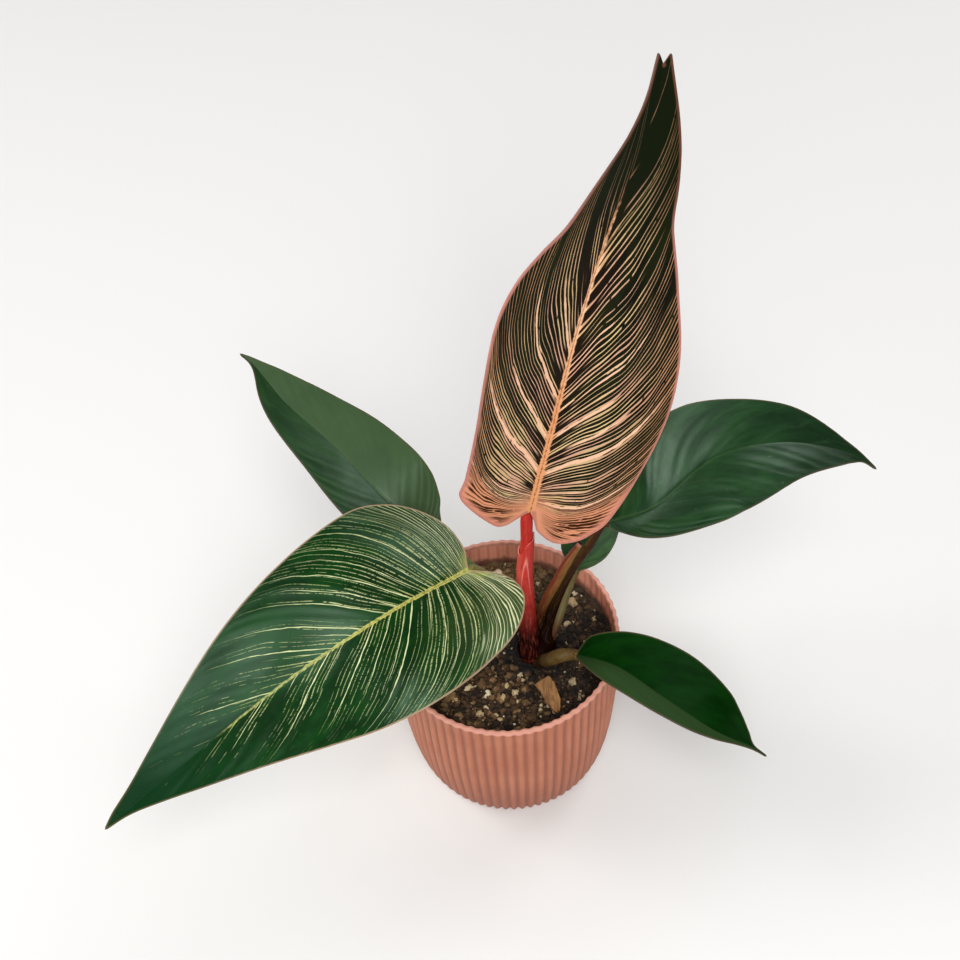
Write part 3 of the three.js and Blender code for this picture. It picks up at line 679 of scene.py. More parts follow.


# How the striped leaves look. cover, breaks and thinning run from coverFrom to coverTo along the rib, in
# millimetres. halfWidths, upperWidths, baseThinning, lobeWidths and the painted sheen share are (left,
# right).
# bands and singles are strokes.

pinkLook = {
    "roughness": 0.52, "gloss": 0.08, "sheen": (1, 1, 1, 1), "bump": 0.05,
    "dark": color(12, 12, 2), "ground": color(24, 30, 4), "ribGround": 0.7, "ribShade": color(30, 10, 3),
    "tip": color(14, 22, 3), "tipFade": (108, 148), "tipStripes": 0.35,
    "coverFrom": -10, "coverTo": 180, "clouds": 7.0, "cloudWidths": (0.75, 1.22),
    "cover": [
        (0, 0.42), (0.1, 0.4), (0.2, 0.34), (0.5, 0.25), (0.62, 0.2), (0.74, 0.16), (0.84, 0.12), (1, 0.05),
    ],
    "breaks": [(0, 0.3), (0.3, 0.29), (0.62, 0.32), (0.78, 0.34), (0.9, 0.37), (1, 0.42)],
    "thinning": [(0, 0), (0.5, 0), (0.62, 0.22), (0.74, 0.48), (0.86, 0.72), (1, 0.96)],
    "baseThinning": (0.0, 0.0), "halfWidths": (1.08, 0.94), "upperWidths": (0.7, 0.94),
    "lobeEnd": (0.33, 0.2), "lobeCount": 74.0, "lobeWidths": (0.53, 0.66), "lobeBreaks": 0.36,
    "lobeWiggle": 2.6, "lobeGroundAndSheen": color(230, 155, 116), "lobeFar": color(230, 155, 116),
    "lobeDash": color(60, 30, 8), "lobeRim": color(228, 150, 124), "lobeRimReach": (1.2, 3.6),
    "paintedSheenShare": (0.0, 0.0),
    "fineCount": 90.0, "variety": 0.8, "dashes": 15.0, "wiggle": 2.6, "softness": 0.11,
    "branching": 0.36, "speckle": 0.0, "fadeByLine": 0.3, "farFade": 0.0,
    "stripeInner": color(252, 218, 158), "stripeTint": color(250, 192, 160),
    "stripeOuter": color(206, 152, 110), "turnOuter": (0.25, 0.95),
    "ribGlow": (0.6, 4.0), "ribGlowWidth": 0.14,
    "bandWidth": 0.8, "bandColor": color(252, 200, 166),
    "bands": [
        (1, 0.668, 0.013, 0.75), (1, 0.475, 0.011, 0.9), (1, 0.605, 0.007, 0.5, 0.05),
        (1, 0.54, 0.007, 0.6, 0.1), (1, 0.767, 0.006, 0.5), (1, 0.36, 0.008, 0.5),
        (-1, 0.7, 0.008, 0.8), (-1, 0.485, 0.013, 0.95), (-1, 0.6, 0.009, 0.65), (-1, 0.79, 0.005, 0.5),
        (-1, 0.34, 0.01, 0.6), (1, 0.298, 0.012, 1.0), (-1, 0.282, 0.014, 1.1),
    ],
    "singles": [(1, 0.905, 0.0018, 1.2), (-1, 0.91, 0.0016, 1.2)],
    "singleWidth": 1.0, "singleShare": 0.8, "singleInner": color(120, 104, 66),
    "singleOuter": color(120, 84, 58),
    "baseFade": (-2, 14), "baseReach": (2, 14), "baseColor": color(238, 162, 124), "baseShare": 0.9,
    "ribEnd": 136, "ribWidths": (1.5, 0.3), "ribRag": 2.0, "ribFlow": 0.6,
    "rib": color(236, 166, 116), "ribTop": color(248, 198, 156), "ribLine": color(182, 104, 60),
    "marginReach": (0.45, 1.2), "marginShare": 0.85, "margin": color(200, 132, 118),
    "marginTip": color(112, 72, 54),
}

creamLook = {
    "roughness": 0.3, "gloss": 0.32, "sheen": (0.62, 1, 0.72, 1), "bump": 0.04,
    "dark": color(0, 34, 0), "ground": color(6, 56, 8), "ribGround": 0.0, "ribShade": color(20, 50, 10),
    "tip": color(0, 46, 12), "tipFade": (90, 150), "tipStripes": 0.4,
    "coverFrom": -12, "coverTo": 172, "clouds": 9.0, "cloudWidths": (0.6, 1.35),
    "cover": [(0, 0.4), (0.1, 0.3), (0.2, 0.14), (0.5, 0.1), (0.7, 0.09), (0.85, 0.08)],
    "breaks": [(0, 0.15), (0.15, 0.28), (0.4, 0.44), (0.7, 0.5), (1, 0.6)],
    "thinning": [(0, 0), (0.3, 0.15), (0.5, 0.36), (0.65, 0.66), (0.8, 0.92)],
    "baseThinning": (0.5, 0.0), "halfWidths": (1.0, 1.05), "upperWidths": (1.0, 1.0),
    "lobeEnd": (0.32, 0.24), "lobeCount": 66.0, "lobeWidths": (0.22, 0.12), "lobeBreaks": 0.24,
    # painted sheen: the lobe ground here is lighter than lobeFar, a painted sheen on the left lobe, and the
    # same colour is laid as a painted sheen on the ground near the base of the left half
    "lobeWiggle": 1.8, "lobeGroundAndSheen": color(64, 88, 50), "lobeFar": color(32, 56, 20),
    "lobeDash": color(230, 234, 186), "lobeRim": color(128, 132, 90), "lobeRimReach": (0.3, 1.0),
    "paintedSheenShare": (0.45, 0.0),
    "fineCount": 100.0, "variety": 0.9, "dashes": 7.0, "wiggle": 2.0, "softness": 0.14,
    "branching": 0.3, "speckle": 0.46, "fadeByLine": 0.55, "farFade": 0.78,
    "stripeInner": color(222, 228, 164), "stripeTint": color(190, 206, 134),
    "stripeOuter": color(190, 204, 146), "turnOuter": (0.3, 1.0),
    "ribGlow": (1.0, 6.0), "ribGlowWidth": 0.08,
    "bandWidth": 0.5, "bandColor": color(236, 238, 176), "bands": [],
    "singles": [
        (1, 0.2, 0.0028, 1.2), (1, 0.252, 0.0026, 1.2), (1, 0.314, 0.0028, 1.2),
        (1, 0.382, 0.0034, 1.2), (1, 0.435, 0.0026, 1.1), (1, 0.466, 0.0024, 0.9),
        (1, 0.507, 0.0032, 1.2), (1, 0.545, 0.0026, 0.8), (1, 0.578, 0.0028, 1.1),
        (1, 0.636, 0.0034, 0.9), (1, 0.656, 0.002, 0.3), (1, 0.694, 0.0034, 0.9),
        (1, 0.708, 0.0022, 0.25), (1, 0.73, 0.002, 0.2), (1, 0.8, 0.0026, 0.6), (-1, 0.13, 0.0026, 1.2),
        (-1, 0.19, 0.0034, 1.2), (-1, 0.24, 0.0034, 1.3), (-1, 0.265, 0.0026, 1.1),
        (-1, 0.3, 0.0024, 1.1), (-1, 0.34, 0.0036, 1.2), (-1, 0.385, 0.0026, 1.1),
        (-1, 0.418, 0.0034, 1.1), (-1, 0.453, 0.0028, 0.35), (-1, 0.508, 0.0042, 1.1),
        (-1, 0.528, 0.0022, 0.6, 0.05), (-1, 0.568, 0.0026, 0.6), (-1, 0.61, 0.0036, 0.8),
        (-1, 0.673, 0.0026, 0.35), (-1, 0.7, 0.0036, 1.0), (-1, 0.755, 0.003, 0.2),
        (-1, 0.81, 0.0026, 0.5),
    ],
    "singleWidth": 0.56, "singleShare": 0.9, "singleInner": color(228, 234, 176),
    "singleOuter": color(190, 200, 144),
    "baseFade": (-4, 5), "baseReach": (2, 9), "baseColor": color(180, 186, 84), "baseShare": 0.6,
    "ribEnd": 118, "ribWidths": (0.8, 0.2), "ribRag": 1.3, "ribFlow": 0.5,
    "rib": color(196, 192, 106), "ribTop": color(192, 198, 124), "ribLine": color(142, 140, 62),
    "marginReach": (0.3, 0.8), "marginShare": 0.8, "margin": color(172, 142, 116),
    "marginTip": color(100, 84, 54),
}


def greenMaterial(name, look):
    material, shader = leafShader(name, look)
    vein = attribute("vein")
    half = split(vein)[2]
    x, y, edge = split(attribute("flat"))
    patch = useGroup(mottling, {
        "Vein": vein, "Streaks": 11.0, "Along": 2.4, "Contrast": 0.18, "Seed": 4.0,
    })["Mask"]
    veins = useGroup(pinstripes, {
        "Vein": vein, "Count": look["veinCount"], "Width": 0.1, "Variety": 0.5, "Breaks": 0.36,
        "Dash Length": 6.0, "Wiggle": 0.7, "Softness": 0.12, "Seed": 1.0,
    })["Mask"]
    flecks = useGroup(pinstripes, {
        "Vein": vein, "Count": 42.0, "Width": 0.16, "Variety": 1.0, "Breaks": look["fleckBreaks"],
        "Dash Length": 22.0, "Wiggle": 1.0, "Softness": 0.1, "Seed": 9.0,
    })["Mask"]
    rib = remap(abs(y), 0.15, 0.7, 1.0, 0.0) * remap(x, 10.0, look["ribEnd"], 1.0, 0.2)
    cloud = remap(noiseAt(objectPlace(), 38.0, 3.0), 0.42, 0.68, 0.0, look["cloudShare"])
    # painted sheen: one half of the leaf lightened and greyed as a painted reflection
    surface = layered(
        look["dark"], (patch, look["ground"]),
        (byHalf(half, (0.0, look["halfSheenShare"])), look["halfSheenColor"]), (cloud, look["cloud"]),
        (remap(x, 62.0, 96.0, 0.0, look["tipShare"]), look["tip"]),
        (veins * look["veinShare"], look["veinColor"]), (flecks * 0.4, look["fleckColor"]),
        (rib * look["ribShare"], look["rib"]), (remap(edge, 0.15, 0.7, 0.8, 0.0), look["margin"]),
    )
    speckle = useGroup(grain, {"Vector": objectPlace(), "Size": 0.6})
    rough = speckle["Coarse"] * 0.2 + (look["roughness"] - 0.1)
    coat(shader, surface, patch * 0.6 + speckle["Fine"], 0.04, rough)
    return material


plainLook = {
    "dark": color(6, 34, 6), "ground": color(20, 56, 16), "halfSheenColor": color(30, 58, 40),
    "halfSheenShare": 0.0,
    "cloud": color(40, 66, 40), "cloudShare": 0.25, "roughness": 0.34, "gloss": 0.36,
    "veinCount": 10.0, "veinShare": 0.15, "veinColor": color(64, 92, 58), "fleckBreaks": 0.85,
    "fleckColor": color(150, 165, 120), "rib": color(62, 92, 44), "ribShare": 0.4, "ribEnd": 100,
    "margin": color(84, 72, 50), "tip": color(4, 32, 6), "tipShare": 0.0, "sheen": (0.75, 1, 0.82, 1),
}

# the back and low leaves carry a painted sheen over their right half
greenLooks = {
    "back": {**plainLook, "dark": color(8, 42, 6), "ground": color(22, 62, 14), "halfSheenShare": 0.65,
             "halfSheenColor": color(70, 92, 60), "ribShare": 0.2},
    "right": {**plainLook, "dark": color(10, 42, 14), "ground": color(30, 68, 32),
              "fleckBreaks": 0.72, "tipShare": 0.8},
    "low": {**plainLook, "dark": color(0, 32, 0), "ground": color(4, 46, 2), "halfSheenShare": 0.5,
            "halfSheenColor": color(62, 86, 50), "ribShare": 0.1, "cloudShare": 0.12, "roughness": 0.5,
            "gloss": 0.04, "veinShare": 0.0},
    "hidden": {**plainLook, "ground": color(52, 84, 40), "dark": color(34, 62, 28)},
}


def undersideMaterial(name, base, streak, foot):  # foot: the color next to the stalk
    material, shader = newMaterial(name, 0.55)
    vein = attribute("vein")
    x, y = split(attribute("flat"))[:2]
    patch = useGroup(mottling, {
        "Vein": vein, "Streaks": 16.0, "Along": 2.0, "Contrast": 0.14, "Seed": 6.0,
    })["Mask"]
    lines = useGroup(pinstripes, {
        "Vein": vein, "Count": 40.0, "Width": 0.22, "Variety": 0.8, "Breaks": 0.4, "Dash Length": 9.0,
        "Wiggle": 1.0, "Softness": 0.15, "Seed": 3.0,
    })["Mask"]
    rib = remap(abs(y), 1.2, 2.2, 0.8, 0.0)
    surface = layered(base, (patch, streak), (lines * 0.5, streak), (rib, streak),
                      (remap(x, 2.0, 12.0, 0.9, 0.0), foot))
    speckle = useGroup(grain, {"Vector": objectPlace(), "Size": 0.6})
    coat(shader, surface, speckle["Fine"] + lines, 0.08)
    return material


def rimMaterial(name, base, dark, tip):
    material, shader = newMaterial(name, 0.5)
    x = split(attribute("flat"))[0]
    tone = remap(noiseAt(objectPlace(), 160.0, 3.0), 0.35, 0.65)
    plug(shader["Base Color"], layered(base, (tone, dark), (remap(x, 90.0, 150.0), tip)))
    return material


pinkUnder = undersideMaterial("leaf_under_pink", color(96, 66, 40), color(180, 116, 82),
                              color(214, 110, 84))
greenUnder = undersideMaterial("leaf_under_green", color(58, 90, 42), color(100, 126, 68),
                               color(132, 140, 74))
pinkRim = rimMaterial("leaf_rim_pink", color(208, 138, 126), color(184, 108, 98), color(104, 66, 52))
creamRim = rimMaterial("leaf_rim_cream", color(204, 180, 146), color(160, 130, 100), color(112, 96, 62))
brownRim = rimMaterial("leaf_rim_brown", color(92, 84, 62), color(70, 58, 44), color(60, 60, 40))

pinkUpper = stripedMaterial("leaf_pink_striped", pinkLook)
creamUpper = stripedMaterial("leaf_cream_striped", creamLook)
buildBlade("tall", [pinkUpper, pinkUnder, pinkRim])
buildBlade("front", [creamUpper, greenUnder, creamRim])
for name, look in greenLooks.items():
    buildBlade(name, [greenMaterial("leaf_green_" + name, look), greenUnder, brownRim])
print("leaf blades made")


# Stalks

stalks = {
    "tall": {
        "path": [(9.1, -5.6, 68.5), (9.2, -2.7, 77), (9, 4.7, 94.5), (9.3, 10, 107.2), (10.6, 14.6, 118)],
        "radii": [2.6, 2.55, 2.5, 2.4, 2.35, 2.3, 2.25, 2.25, 2.25, 2.4, 2.05], "reach": 4,
        "slot": "stalk_red",
    },
    "front": {
        "path": [(7.5, 1.5, 69), (7.4, 4.9, 80), (2.8, 7.4, 92), (-4, 9.6, 104)],
        "radii": [1.8, 1.7, 1.7, 1.7, 1.8], "reach": 3, "slot": "stalk_green",
    },
    "back": {
        "path": [(9.7, 5.3, 68), (6, 9.4, 79), (-3, 17.5, 87), (-15, 27, 94.5)],
        "radii": [1.8, 1.7, 1.7, 1.7, 1.7], "reach": 4, "slot": "stalk_green",
    },
    "right": {
        "path": [(16.2, -0.4, 70), (16.3, 1.9, 74.3), (19.1, 6.2, 82.4), (22.6, 10.1, 90.1),
                 (28.1, 14.6, 99.2), (35.1, 18.8, 107.6)],
        "radii": [2.2, 2.1, 2, 1.85, 1.8, 1.7, 1.7], "reach": 4, "slot": "stalk_brown",
    },
    "low": {
        "path": [(13, -7.5, 68.9), (15.8, -10.9, 74.6), (20.5, -12, 78.6)],
        "radii": [2.5, 2.8, 2.7, 1.9], "reach": 3, "slot": "stalk_tan",
    },
    "hidden": {
        "path": [(17.9, 3.4, 66.5), (21.2, 7.1, 72.5), (24.7, 13.6, 77.6), (26.7, 17.1, 80.4)],
        "radii": [1.6, 1.6, 1.5, 1.4], "reach": 3, "slot": "stalk_tan",
    },
}

bract = {
    "path": [(11.8, 2.1, 70), (12.4, 3.6, 77.6), (15.8, 6.9, 86.3), (20.4, 10.1, 94.4),
             (26.1, 14.8, 103.2), (31.5, 18.2, 110.2)],
    "radii": [1.8, 1.9, 1.9, 1.85, 1.8, 1],
}


def stalkLine(name):
    leaf = blades[name]
    point, normal = ribFrame(leaf, 0)[:2]
    tangent = leaf["rib"].heading(0)
    centre = point - normal * (bladeSheet["thickness"] + leaf["stub"]) / 2
    return [*stalks[name]["path"], centre - tangent * stalks[name]["reach"], centre - tangent * 0.2]


def shareOf(values, t):
    place = min(max(t, 0), 1) * (len(values) - 1)
    k = min(int(place), len(values) - 2)
    return mix(values[k], values[k + 1], place - k)


# A tube: a grid wrapped round a line. shape(share, angle) gives the radius, the place along and an accent.
def buildTube(points, shape, sides, steps, upright=Vector((1, 0, 0)), closed=True, span=(0.0, 1.0)):
    line = MeasuredLine(splineSamples(points))
    bm = bmesh.new()
    tube = bm.verts.layers.float_vector.new("tube")
    bmesh.ops.create_grid(bm, x_segments=sides, y_segments=steps, size=0.5)
    for vert in bm.verts:
        angle = 2 * math.pi * (vert.co.x + 0.5)
        share = mix(*span, vert.co.y + 0.5)
        radius, share, accent = shape(share, angle)
        tangent = line.heading(share * line.length)
        across = (upright - tangent * upright.dot(tangent)).normalized()
        ahead = tangent.cross(across)
        vert[tube] = (share * line.length, angle, accent)
        vert.co = (line.at(share * line.length) + across * radius * math.cos(angle)
                   + ahead * radius * math.sin(angle)) * mm
    bmesh.ops.remove_doubles(bm, verts=bm.verts, dist=1e-6)
    if closed:
        bmesh.ops.holes_fill(bm, edges=[edge for edge in bm.edges if edge.is_boundary], sides=0)
    bmesh.ops.recalc_face_normals(bm, faces=bm.faces)
    return bm


def stalkMaterial(name, look):
    material, shader = newMaterial(name, 0.4, Specular_IOR_Level=look["gloss"])
    along, angle, accent = split(attribute("tube"))
    across = calc("COSINE", angle)
    streak = noiseAt(join(along * 0.05, calc("SINE", angle), across), 5.0, 4.0, 0.6)
    rise = remap(along, *look["rise"])
    # painted light and shade: the two sides of the stalk take a lighter painted highlight and a darker
    # painted shade
    side = (streak - 0.5) * 0.8 + across
    spots = noiseAt(objectPlace(), 420.0, 3.0)
    surface = layered(
        look["low"], (rise, look["high"]),
        (remap(streak, 0.45, 0.7, 0.0, look["streakShare"]), look["streak"]),
        (remap(side, -0.3, -0.8, 0.0, look["sideLightingShare"]) * rise, look["leftSide"]),
        (remap(side, 0.3, 0.8, 0.0, look["sideLightingShare"]) * rise, look["rightSide"]),
        (accent, look["accent"]), (remap(spots, 0.58, 0.7, 0.0, 0.35), look["spot"]),
    )
    speckle = useGroup(grain, {"Vector": objectPlace(), "Size": 0.7})
    coat(shader, surface, streak + speckle["Fine"] * 0.3, 0.15, speckle["Coarse"] * 0.3 + 0.24)
    return material


plainStalk = {
    "gloss": 0.2, "sideLightingShare": 0.0, "leftSide": color(80, 40, 20), "rightSide": color(80, 40, 20),
    "accent": color(236, 150, 136),
}

stalkLooks = {
    "tall": {**plainStalk, "low": color(44, 1, 1), "high": color(176, 36, 28), "rise": (8, 40),
             "streak": color(206, 92, 70), "streakShare": 0.3, "spot": color(110, 14, 14)},
    "front": {**plainStalk, "low": color(92, 60, 36), "high": color(112, 106, 56), "rise": (4, 26),
              "streak": color(134, 122, 72), "streakShare": 0.5, "spot": color(74, 74, 38)},
    "back": {**plainStalk, "low": color(70, 46, 34), "high": color(88, 108, 52), "rise": (4, 26),
             "streak": color(120, 130, 66), "streakShare": 0.5, "spot": color(60, 60, 32)},
    # right stalk: a painted highlight down its left side and painted shade down its right
    "right": {**plainStalk, "low": color(14, 1, 1), "high": color(52, 27, 8), "rise": (10, 44),
              "gloss": 0.1, "streak": color(84, 54, 20), "streakShare": 0.5, "spot": color(28, 12, 4),
              "sideLightingShare": 0.6, "leftSide": color(92, 66, 28), "rightSide": color(20, 8, 4)},
    "low": {**plainStalk, "low": color(40, 22, 10), "high": color(106, 84, 46), "rise": (1, 15),
            "gloss": 0.12, "streak": color(74, 50, 26), "streakShare": 0.8, "spot": color(40, 28, 12)},
    "hidden": {**plainStalk, "low": color(96, 52, 42), "high": color(108, 98, 62), "rise": (1, 14),
               "gloss": 0.1, "streak": color(92, 76, 48), "streakShare": 0.6, "spot": color(70, 54, 36)},
}


def stalkShape(name):
    radii = stalks[name]["radii"]
    lumps = {"low": 0.28, "hidden": 0.12}.get(name, 0.06)

    def shape(share, angle):
        flutes = 0.05 * math.cos(5 * angle + 3 * share)
        lump = lumps * noise.noise(Vector((share * 9, math.cos(angle), math.sin(angle))))
        base = 0.35 * math.exp(-(share / 0.06) ** 2)
        return shareOf(radii, share) * (1 + flutes * 0.6 + base) + lump, share, 0.0
    return shape


for name, look in stalkLooks.items():
    bm = buildTube(stalkLine(name), stalkShape(name), 36, 70)
    material = stalkMaterial("petiole_" + name, look)
    makePiece("petiole_" + name, bm, [material], "stalk_" + name)
print("stalks made")


# Sheath round the tall leaf's stalk: one side laps over the other, the lip slants, and an arched fold
# stands on the front

sheath = {
    "start": 0.03, "lip": (0.733, 0.837), "lipPeak": 0.1, "outer": [3.9, 3.65, 3.12],
    "seam": 2.4, "lap": 0.25, "wall": 0.45,
    "foldAngle": 4.71, "foldTop": 0.88, "foldWidth": 0.34, "foldHeight": 0.1, "foldDepth": 0.2,
}


def sheathShape(share, angle):
    rise = (share - sheath["start"]) / (1 - sheath["start"])
    lean = ((1 + math.cos(angle - sheath["lipPeak"])) / 2) ** 1.3
    top = mix(*sheath["lip"], lean) + 0.012 * math.sin(3 * angle)
    turn = ((angle - sheath["seam"]) / (2 * math.pi)) % 1
    lap = sheath["lap"] * (smooth(1 - turn * 5) - 0.6 * smooth(turn * 7 - 6))
    wrinkle = 0.1 * noise.noise(Vector((rise * 8, 2 * math.cos(angle), 2 * math.sin(angle))))
    aside = (angle - sheath["foldAngle"]) / sheath["foldWidth"]
    under = (sheath["foldTop"] - rise) / sheath["foldHeight"] - aside * aside
    fold = math.exp(-(under / 0.35) ** 2) * smooth((rise - 0.45) / 0.25)
    radius = shareOf(sheath["outer"], rise) + lap + wrinkle - 0.15 + sheath["foldDepth"] * fold
    return radius, mix(sheath["start"], top, rise), 0.7 * fold


# sheath: a painted highlight down its left side and painted shade down its right
sheathLook = {**plainStalk, "low": color(28, 1, 1), "high": color(182, 46, 38), "rise": (10, 38),
              "streak": color(214, 106, 82), "streakShare": 0.22, "spot": color(110, 12, 12),
              "sideLightingShare": 0.4, "leftSide": color(196, 96, 80), "rightSide": color(150, 20, 20)}
sheathInsideLook = {**sheathLook, "low": color(170, 60, 60), "high": color(232, 150, 140)}
bm = buildTube(stalkLine("tall"), sheathShape, 96, 90, closed=False, span=(sheath["start"], 1.0))
materials = [stalkMaterial("sheath_red", sheathLook), stalkMaterial("sheath_inside", sheathInsideLook)]
piece = makePiece("sheath_sleeve", bm, materials, "sheath")
modifier = piece.modifiers.new("Thickness", "SOLIDIFY")
modifier.thickness = sheath["wall"] * mm
modifier.offset = -1
modifier.material_offset = 1
modifier.material_offset_rim = 1


# Bract: a pointed sheath, channelled along the side that faces the stalk

def bractShape(share, angle):
    channel = 0.45 * math.exp(-((angle - 0.9) / 0.5) ** 2)
    keel = 0.22 * math.exp(-(((angle - 4.1) % (2 * math.pi)) / 0.35) ** 2)
    radius = shareOf(bract["radii"], share) * (1 - channel + keel) + 0.05
    return radius, share, smooth((share - 0.96) / 0.04)


# bract: a painted highlight down its right side and a redder left side
bractLook = {**plainStalk, "low": color(44, 2, 2), "high": color(124, 78, 38), "rise": (10, 34),
             "streak": color(160, 108, 58), "streakShare": 0.4, "spot": color(84, 40, 16),
             "sideLightingShare": 0.9, "leftSide": color(112, 30, 16), "rightSide": color(112, 96, 44),
             "accent": color(190, 120, 100)}
bm = buildTube(bract["path"], bractShape, 36, 70)
makePiece("bract_sheath", bm, [stalkMaterial("bract", bractLook)], "bract")
print("sheath and bract made")


# Short stem: a ringed, lumpy knot with scars where old leaves stood

stemLow, stemHigh = (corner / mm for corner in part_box("stem"))
stem = {
    "centre": (stemLow + stemHigh) / 2, "radius": (stemHigh.x - stemLow.x) / 2 - 0.3,
    "top": stemHigh.z - 0.2, "bottom": stemLow.z, "rings": 5, "scarDepth": 0.5,
}


def stemShape(share, angle):
    height = mix(stem["bottom"], stem["top"], share)
    crown = max(1 - max(height - (stem["top"] - 5), 0) ** 2 / 26, 0.0) ** 0.5
    ring = abs(math.sin(stem["rings"] * math.pi * share + 0.5 * math.sin(angle))) ** 0.4
    lump = noise.noise(Vector((math.cos(angle) * 2, math.sin(angle) * 2, share * 5)))
    radius = stem["radius"] * crown * (0.95 + 0.1 * lump) - stem["scarDepth"] * (1 - ring) * crown + 0.05
    return radius, share, 0.0


stemLook = {**plainStalk, "low": color(12, 5, 3), "high": color(22, 4, 3), "rise": (12, 24), "gloss": 0.02,
            "streak": color(34, 12, 8), "streakShare": 0.4, "spot": color(12, 5, 3)}
x, y = stem["centre"].xy
spine = [(x, y, mix(stem["bottom"], stem["top"], k / 4)) for k in range(5)]
bm = buildTube(spine, stemShape, 64, 50)
bmesh.ops.scale(bm, verts=bm.verts, vec=(1, 0.9, 1), space=Matrix.Translation((-x * mm, -y * mm, 0)))
makePiece("stem_knot", bm, [stalkMaterial("stem", stemLook)], "stem")
print("stem made")


# Pot: a ribbed wall with narrow grooves between broad round ribs, outside and inside

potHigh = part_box("pot")[1] / mm
pot = {
    "rimRadius": potHigh.x, "height": potHigh.z, "baseRadius": 35.5, "bellyTop": 78, "bellyPower": 2.25,
    "wall": 2.6, "rimWall": 1.55, "floor": 4.0, "ribs": 68, "stepsPerRib": 8, "grooveShape": 1.7,
    "grooveDepth": 1.05, "innerGroove": 0.45, "rimGroove": 0.42, "footRound": 1.2, "rimRound": 0.7,
    # the grooves and low colours are painted shade, inner and the far wall's colours painted light, lip a
    # painted highlight on the rim top
    "outer": color(179, 104, 71), "outerPatch": color(189, 115, 83), "outerGrooveShade": color(146, 76, 47),
    "low": color(134, 68, 45), "inner": color(204, 128, 104), "innerGrooveShade": color(166, 90, 70),
    "litFar": color(255, 176, 148), "litFarGrooveShade": color(214, 124, 98), "lip": color(222, 154, 134),
    "dirt": color(84, 52, 42),
    "insideRadius": (0.0437, 0.0433), "insideFrom": (0.05, 0.06), "rimLightFrom": (0.0776, 0.0784),
    "dirtTop": (0.0705, 0.0745),
}


def potRadius(z):
    drop = min(max((pot["bellyTop"] - z) / pot["bellyTop"], 0), 1)
    power = pot["bellyPower"]
    return pot["baseRadius"] + (pot["rimRadius"] - pot["baseRadius"]) * (1 - drop ** power) ** (1 / power)


def wallAt(z):
    return mix(pot["wall"], pot["rimWall"], smooth((z - 58) / 8))


def potProfile():
    foot, rim, top = pot["footRound"], pot["rimRound"], pot["height"]
    inner = pot["rimRadius"] - pot["rimWall"]
    quarter = [math.pi / 2 * k / 4 for k in range(5)]
    line = [(0, 0), (20, 0), (33, 0)]
    line += [(potRadius(foot) - foot * (1 - math.sin(a)), foot * (1 - math.cos(a))) for a in quarter]
    line += [(potRadius(z), z) for z in (2.4, 4, 6, 9, 13, 18, 24, 31, 38, 46, 54, 62, 70, 75, top - rim)]
    outer = pot["rimRadius"]
    line += [(outer - rim * (1 - math.cos(a)), top - rim * (1 - math.sin(a))) for a in quarter[1:]]
    line += [(inner + rim * (1 - math.sin(a)), top - rim * (1 - math.cos(a))) for a in quarter]
    line += [(potRadius(z) - wallAt(z), z) for z in (77, 74, 71, 68, 66, 64, 62, 60, 58, 46, 34, 22, 12, 7)]
    return line + [(33, pot["floor"]), (18, pot["floor"]), (0, pot["floor"])]


def grooveAt(x, y, z, inside):
    turn = math.atan2(x, -y) * pot["ribs"] / (2 * math.pi)
    groove = 1 - abs(math.sin(math.pi * turn)) ** pot["grooveShape"]
    depth = pot["innerGroove"] if inside else pot["grooveDepth"]
    return groove * mix(depth, min(pot["rimGroove"], depth), smooth((z - 69) / 7))


def buildPot():
    bm = spinProfile(potProfile(), pot["ribs"] * pot["stepsPerRib"])
    for vert in bm.verts:
        x, y, z = vert.co / mm
        radius = math.hypot(x, y)
        if radius > 30:
            inside = z > 5 and radius < potRadius(z) - wallAt(z) / 2
            scale = 1 - grooveAt(x, y, z, inside) / radius
            vert.co.x *= scale
            vert.co.y *= scale
    return bm


def potMaterial():
    material, shader = newMaterial("pot_pink", 0.55)
    place = objectPlace()
    x, y, z = split(place)
    # painted shade in the grooves between the ribs, outside and inside
    crest = abs(calc("SINE", calc("ARCTAN2", x, y * -1.0) * (pot["ribs"] / 2)))
    grooves = remap(crest, 0.1, 0.9, 0.6, 0.0)
    patch = remap(noiseAt(place, 45.0, 4.0), 0.35, 0.65)
    outer = layered(pot["outer"], (patch, pot["outerPatch"]),
                    (remap(crest, 0.1, 0.95, 0.8, 0.0), pot["outerGrooveShade"]),
                    # painted shade: the outside darker towards the bottom
                    (remap(z, 0.002, 0.045, 0.55, 0.0), pot["low"]))
    # painted light: the inside wall lighter than the outside, and lighter again on the far side
    inner = blendColor(grooves, pot["inner"], pot["innerGrooveShade"])
    litFarWall = blendColor(grooves, pot["litFar"], pot["litFarGrooveShade"])
    inner = blendColor(remap(y, 0.012, 0.036), inner, litFarWall)
    radius = calc("SQRT", x * x + y * y)
    inside = remap(radius, *pot["insideRadius"]) * remap(z, *pot["insideFrom"])
    soilLine = z + noiseAt(place, 260.0, 4.0) * 0.006
    dirt = inside * remap(soilLine, *pot["dirtTop"], 0.75, 0.0)
    # painted highlight on the top of the rim
    surface = layered(outer, (inside, inner), (remap(z, *pot["rimLightFrom"]), pot["lip"]), (dirt, pot["dirt"]))
    speckle = useGroup(grain, {"Vector": place, "Size": 0.5})
    coat(shader, surface, speckle["Fine"], 0.06, speckle["Coarse"] * 0.18 + 0.45)
    return material


makePiece("ribbed_pot", buildPot(), [potMaterial()], "pot")
print("pot made")


# Soil: an uneven bed, with crumbs, grit, pale mineral grains and shreds of bark on it

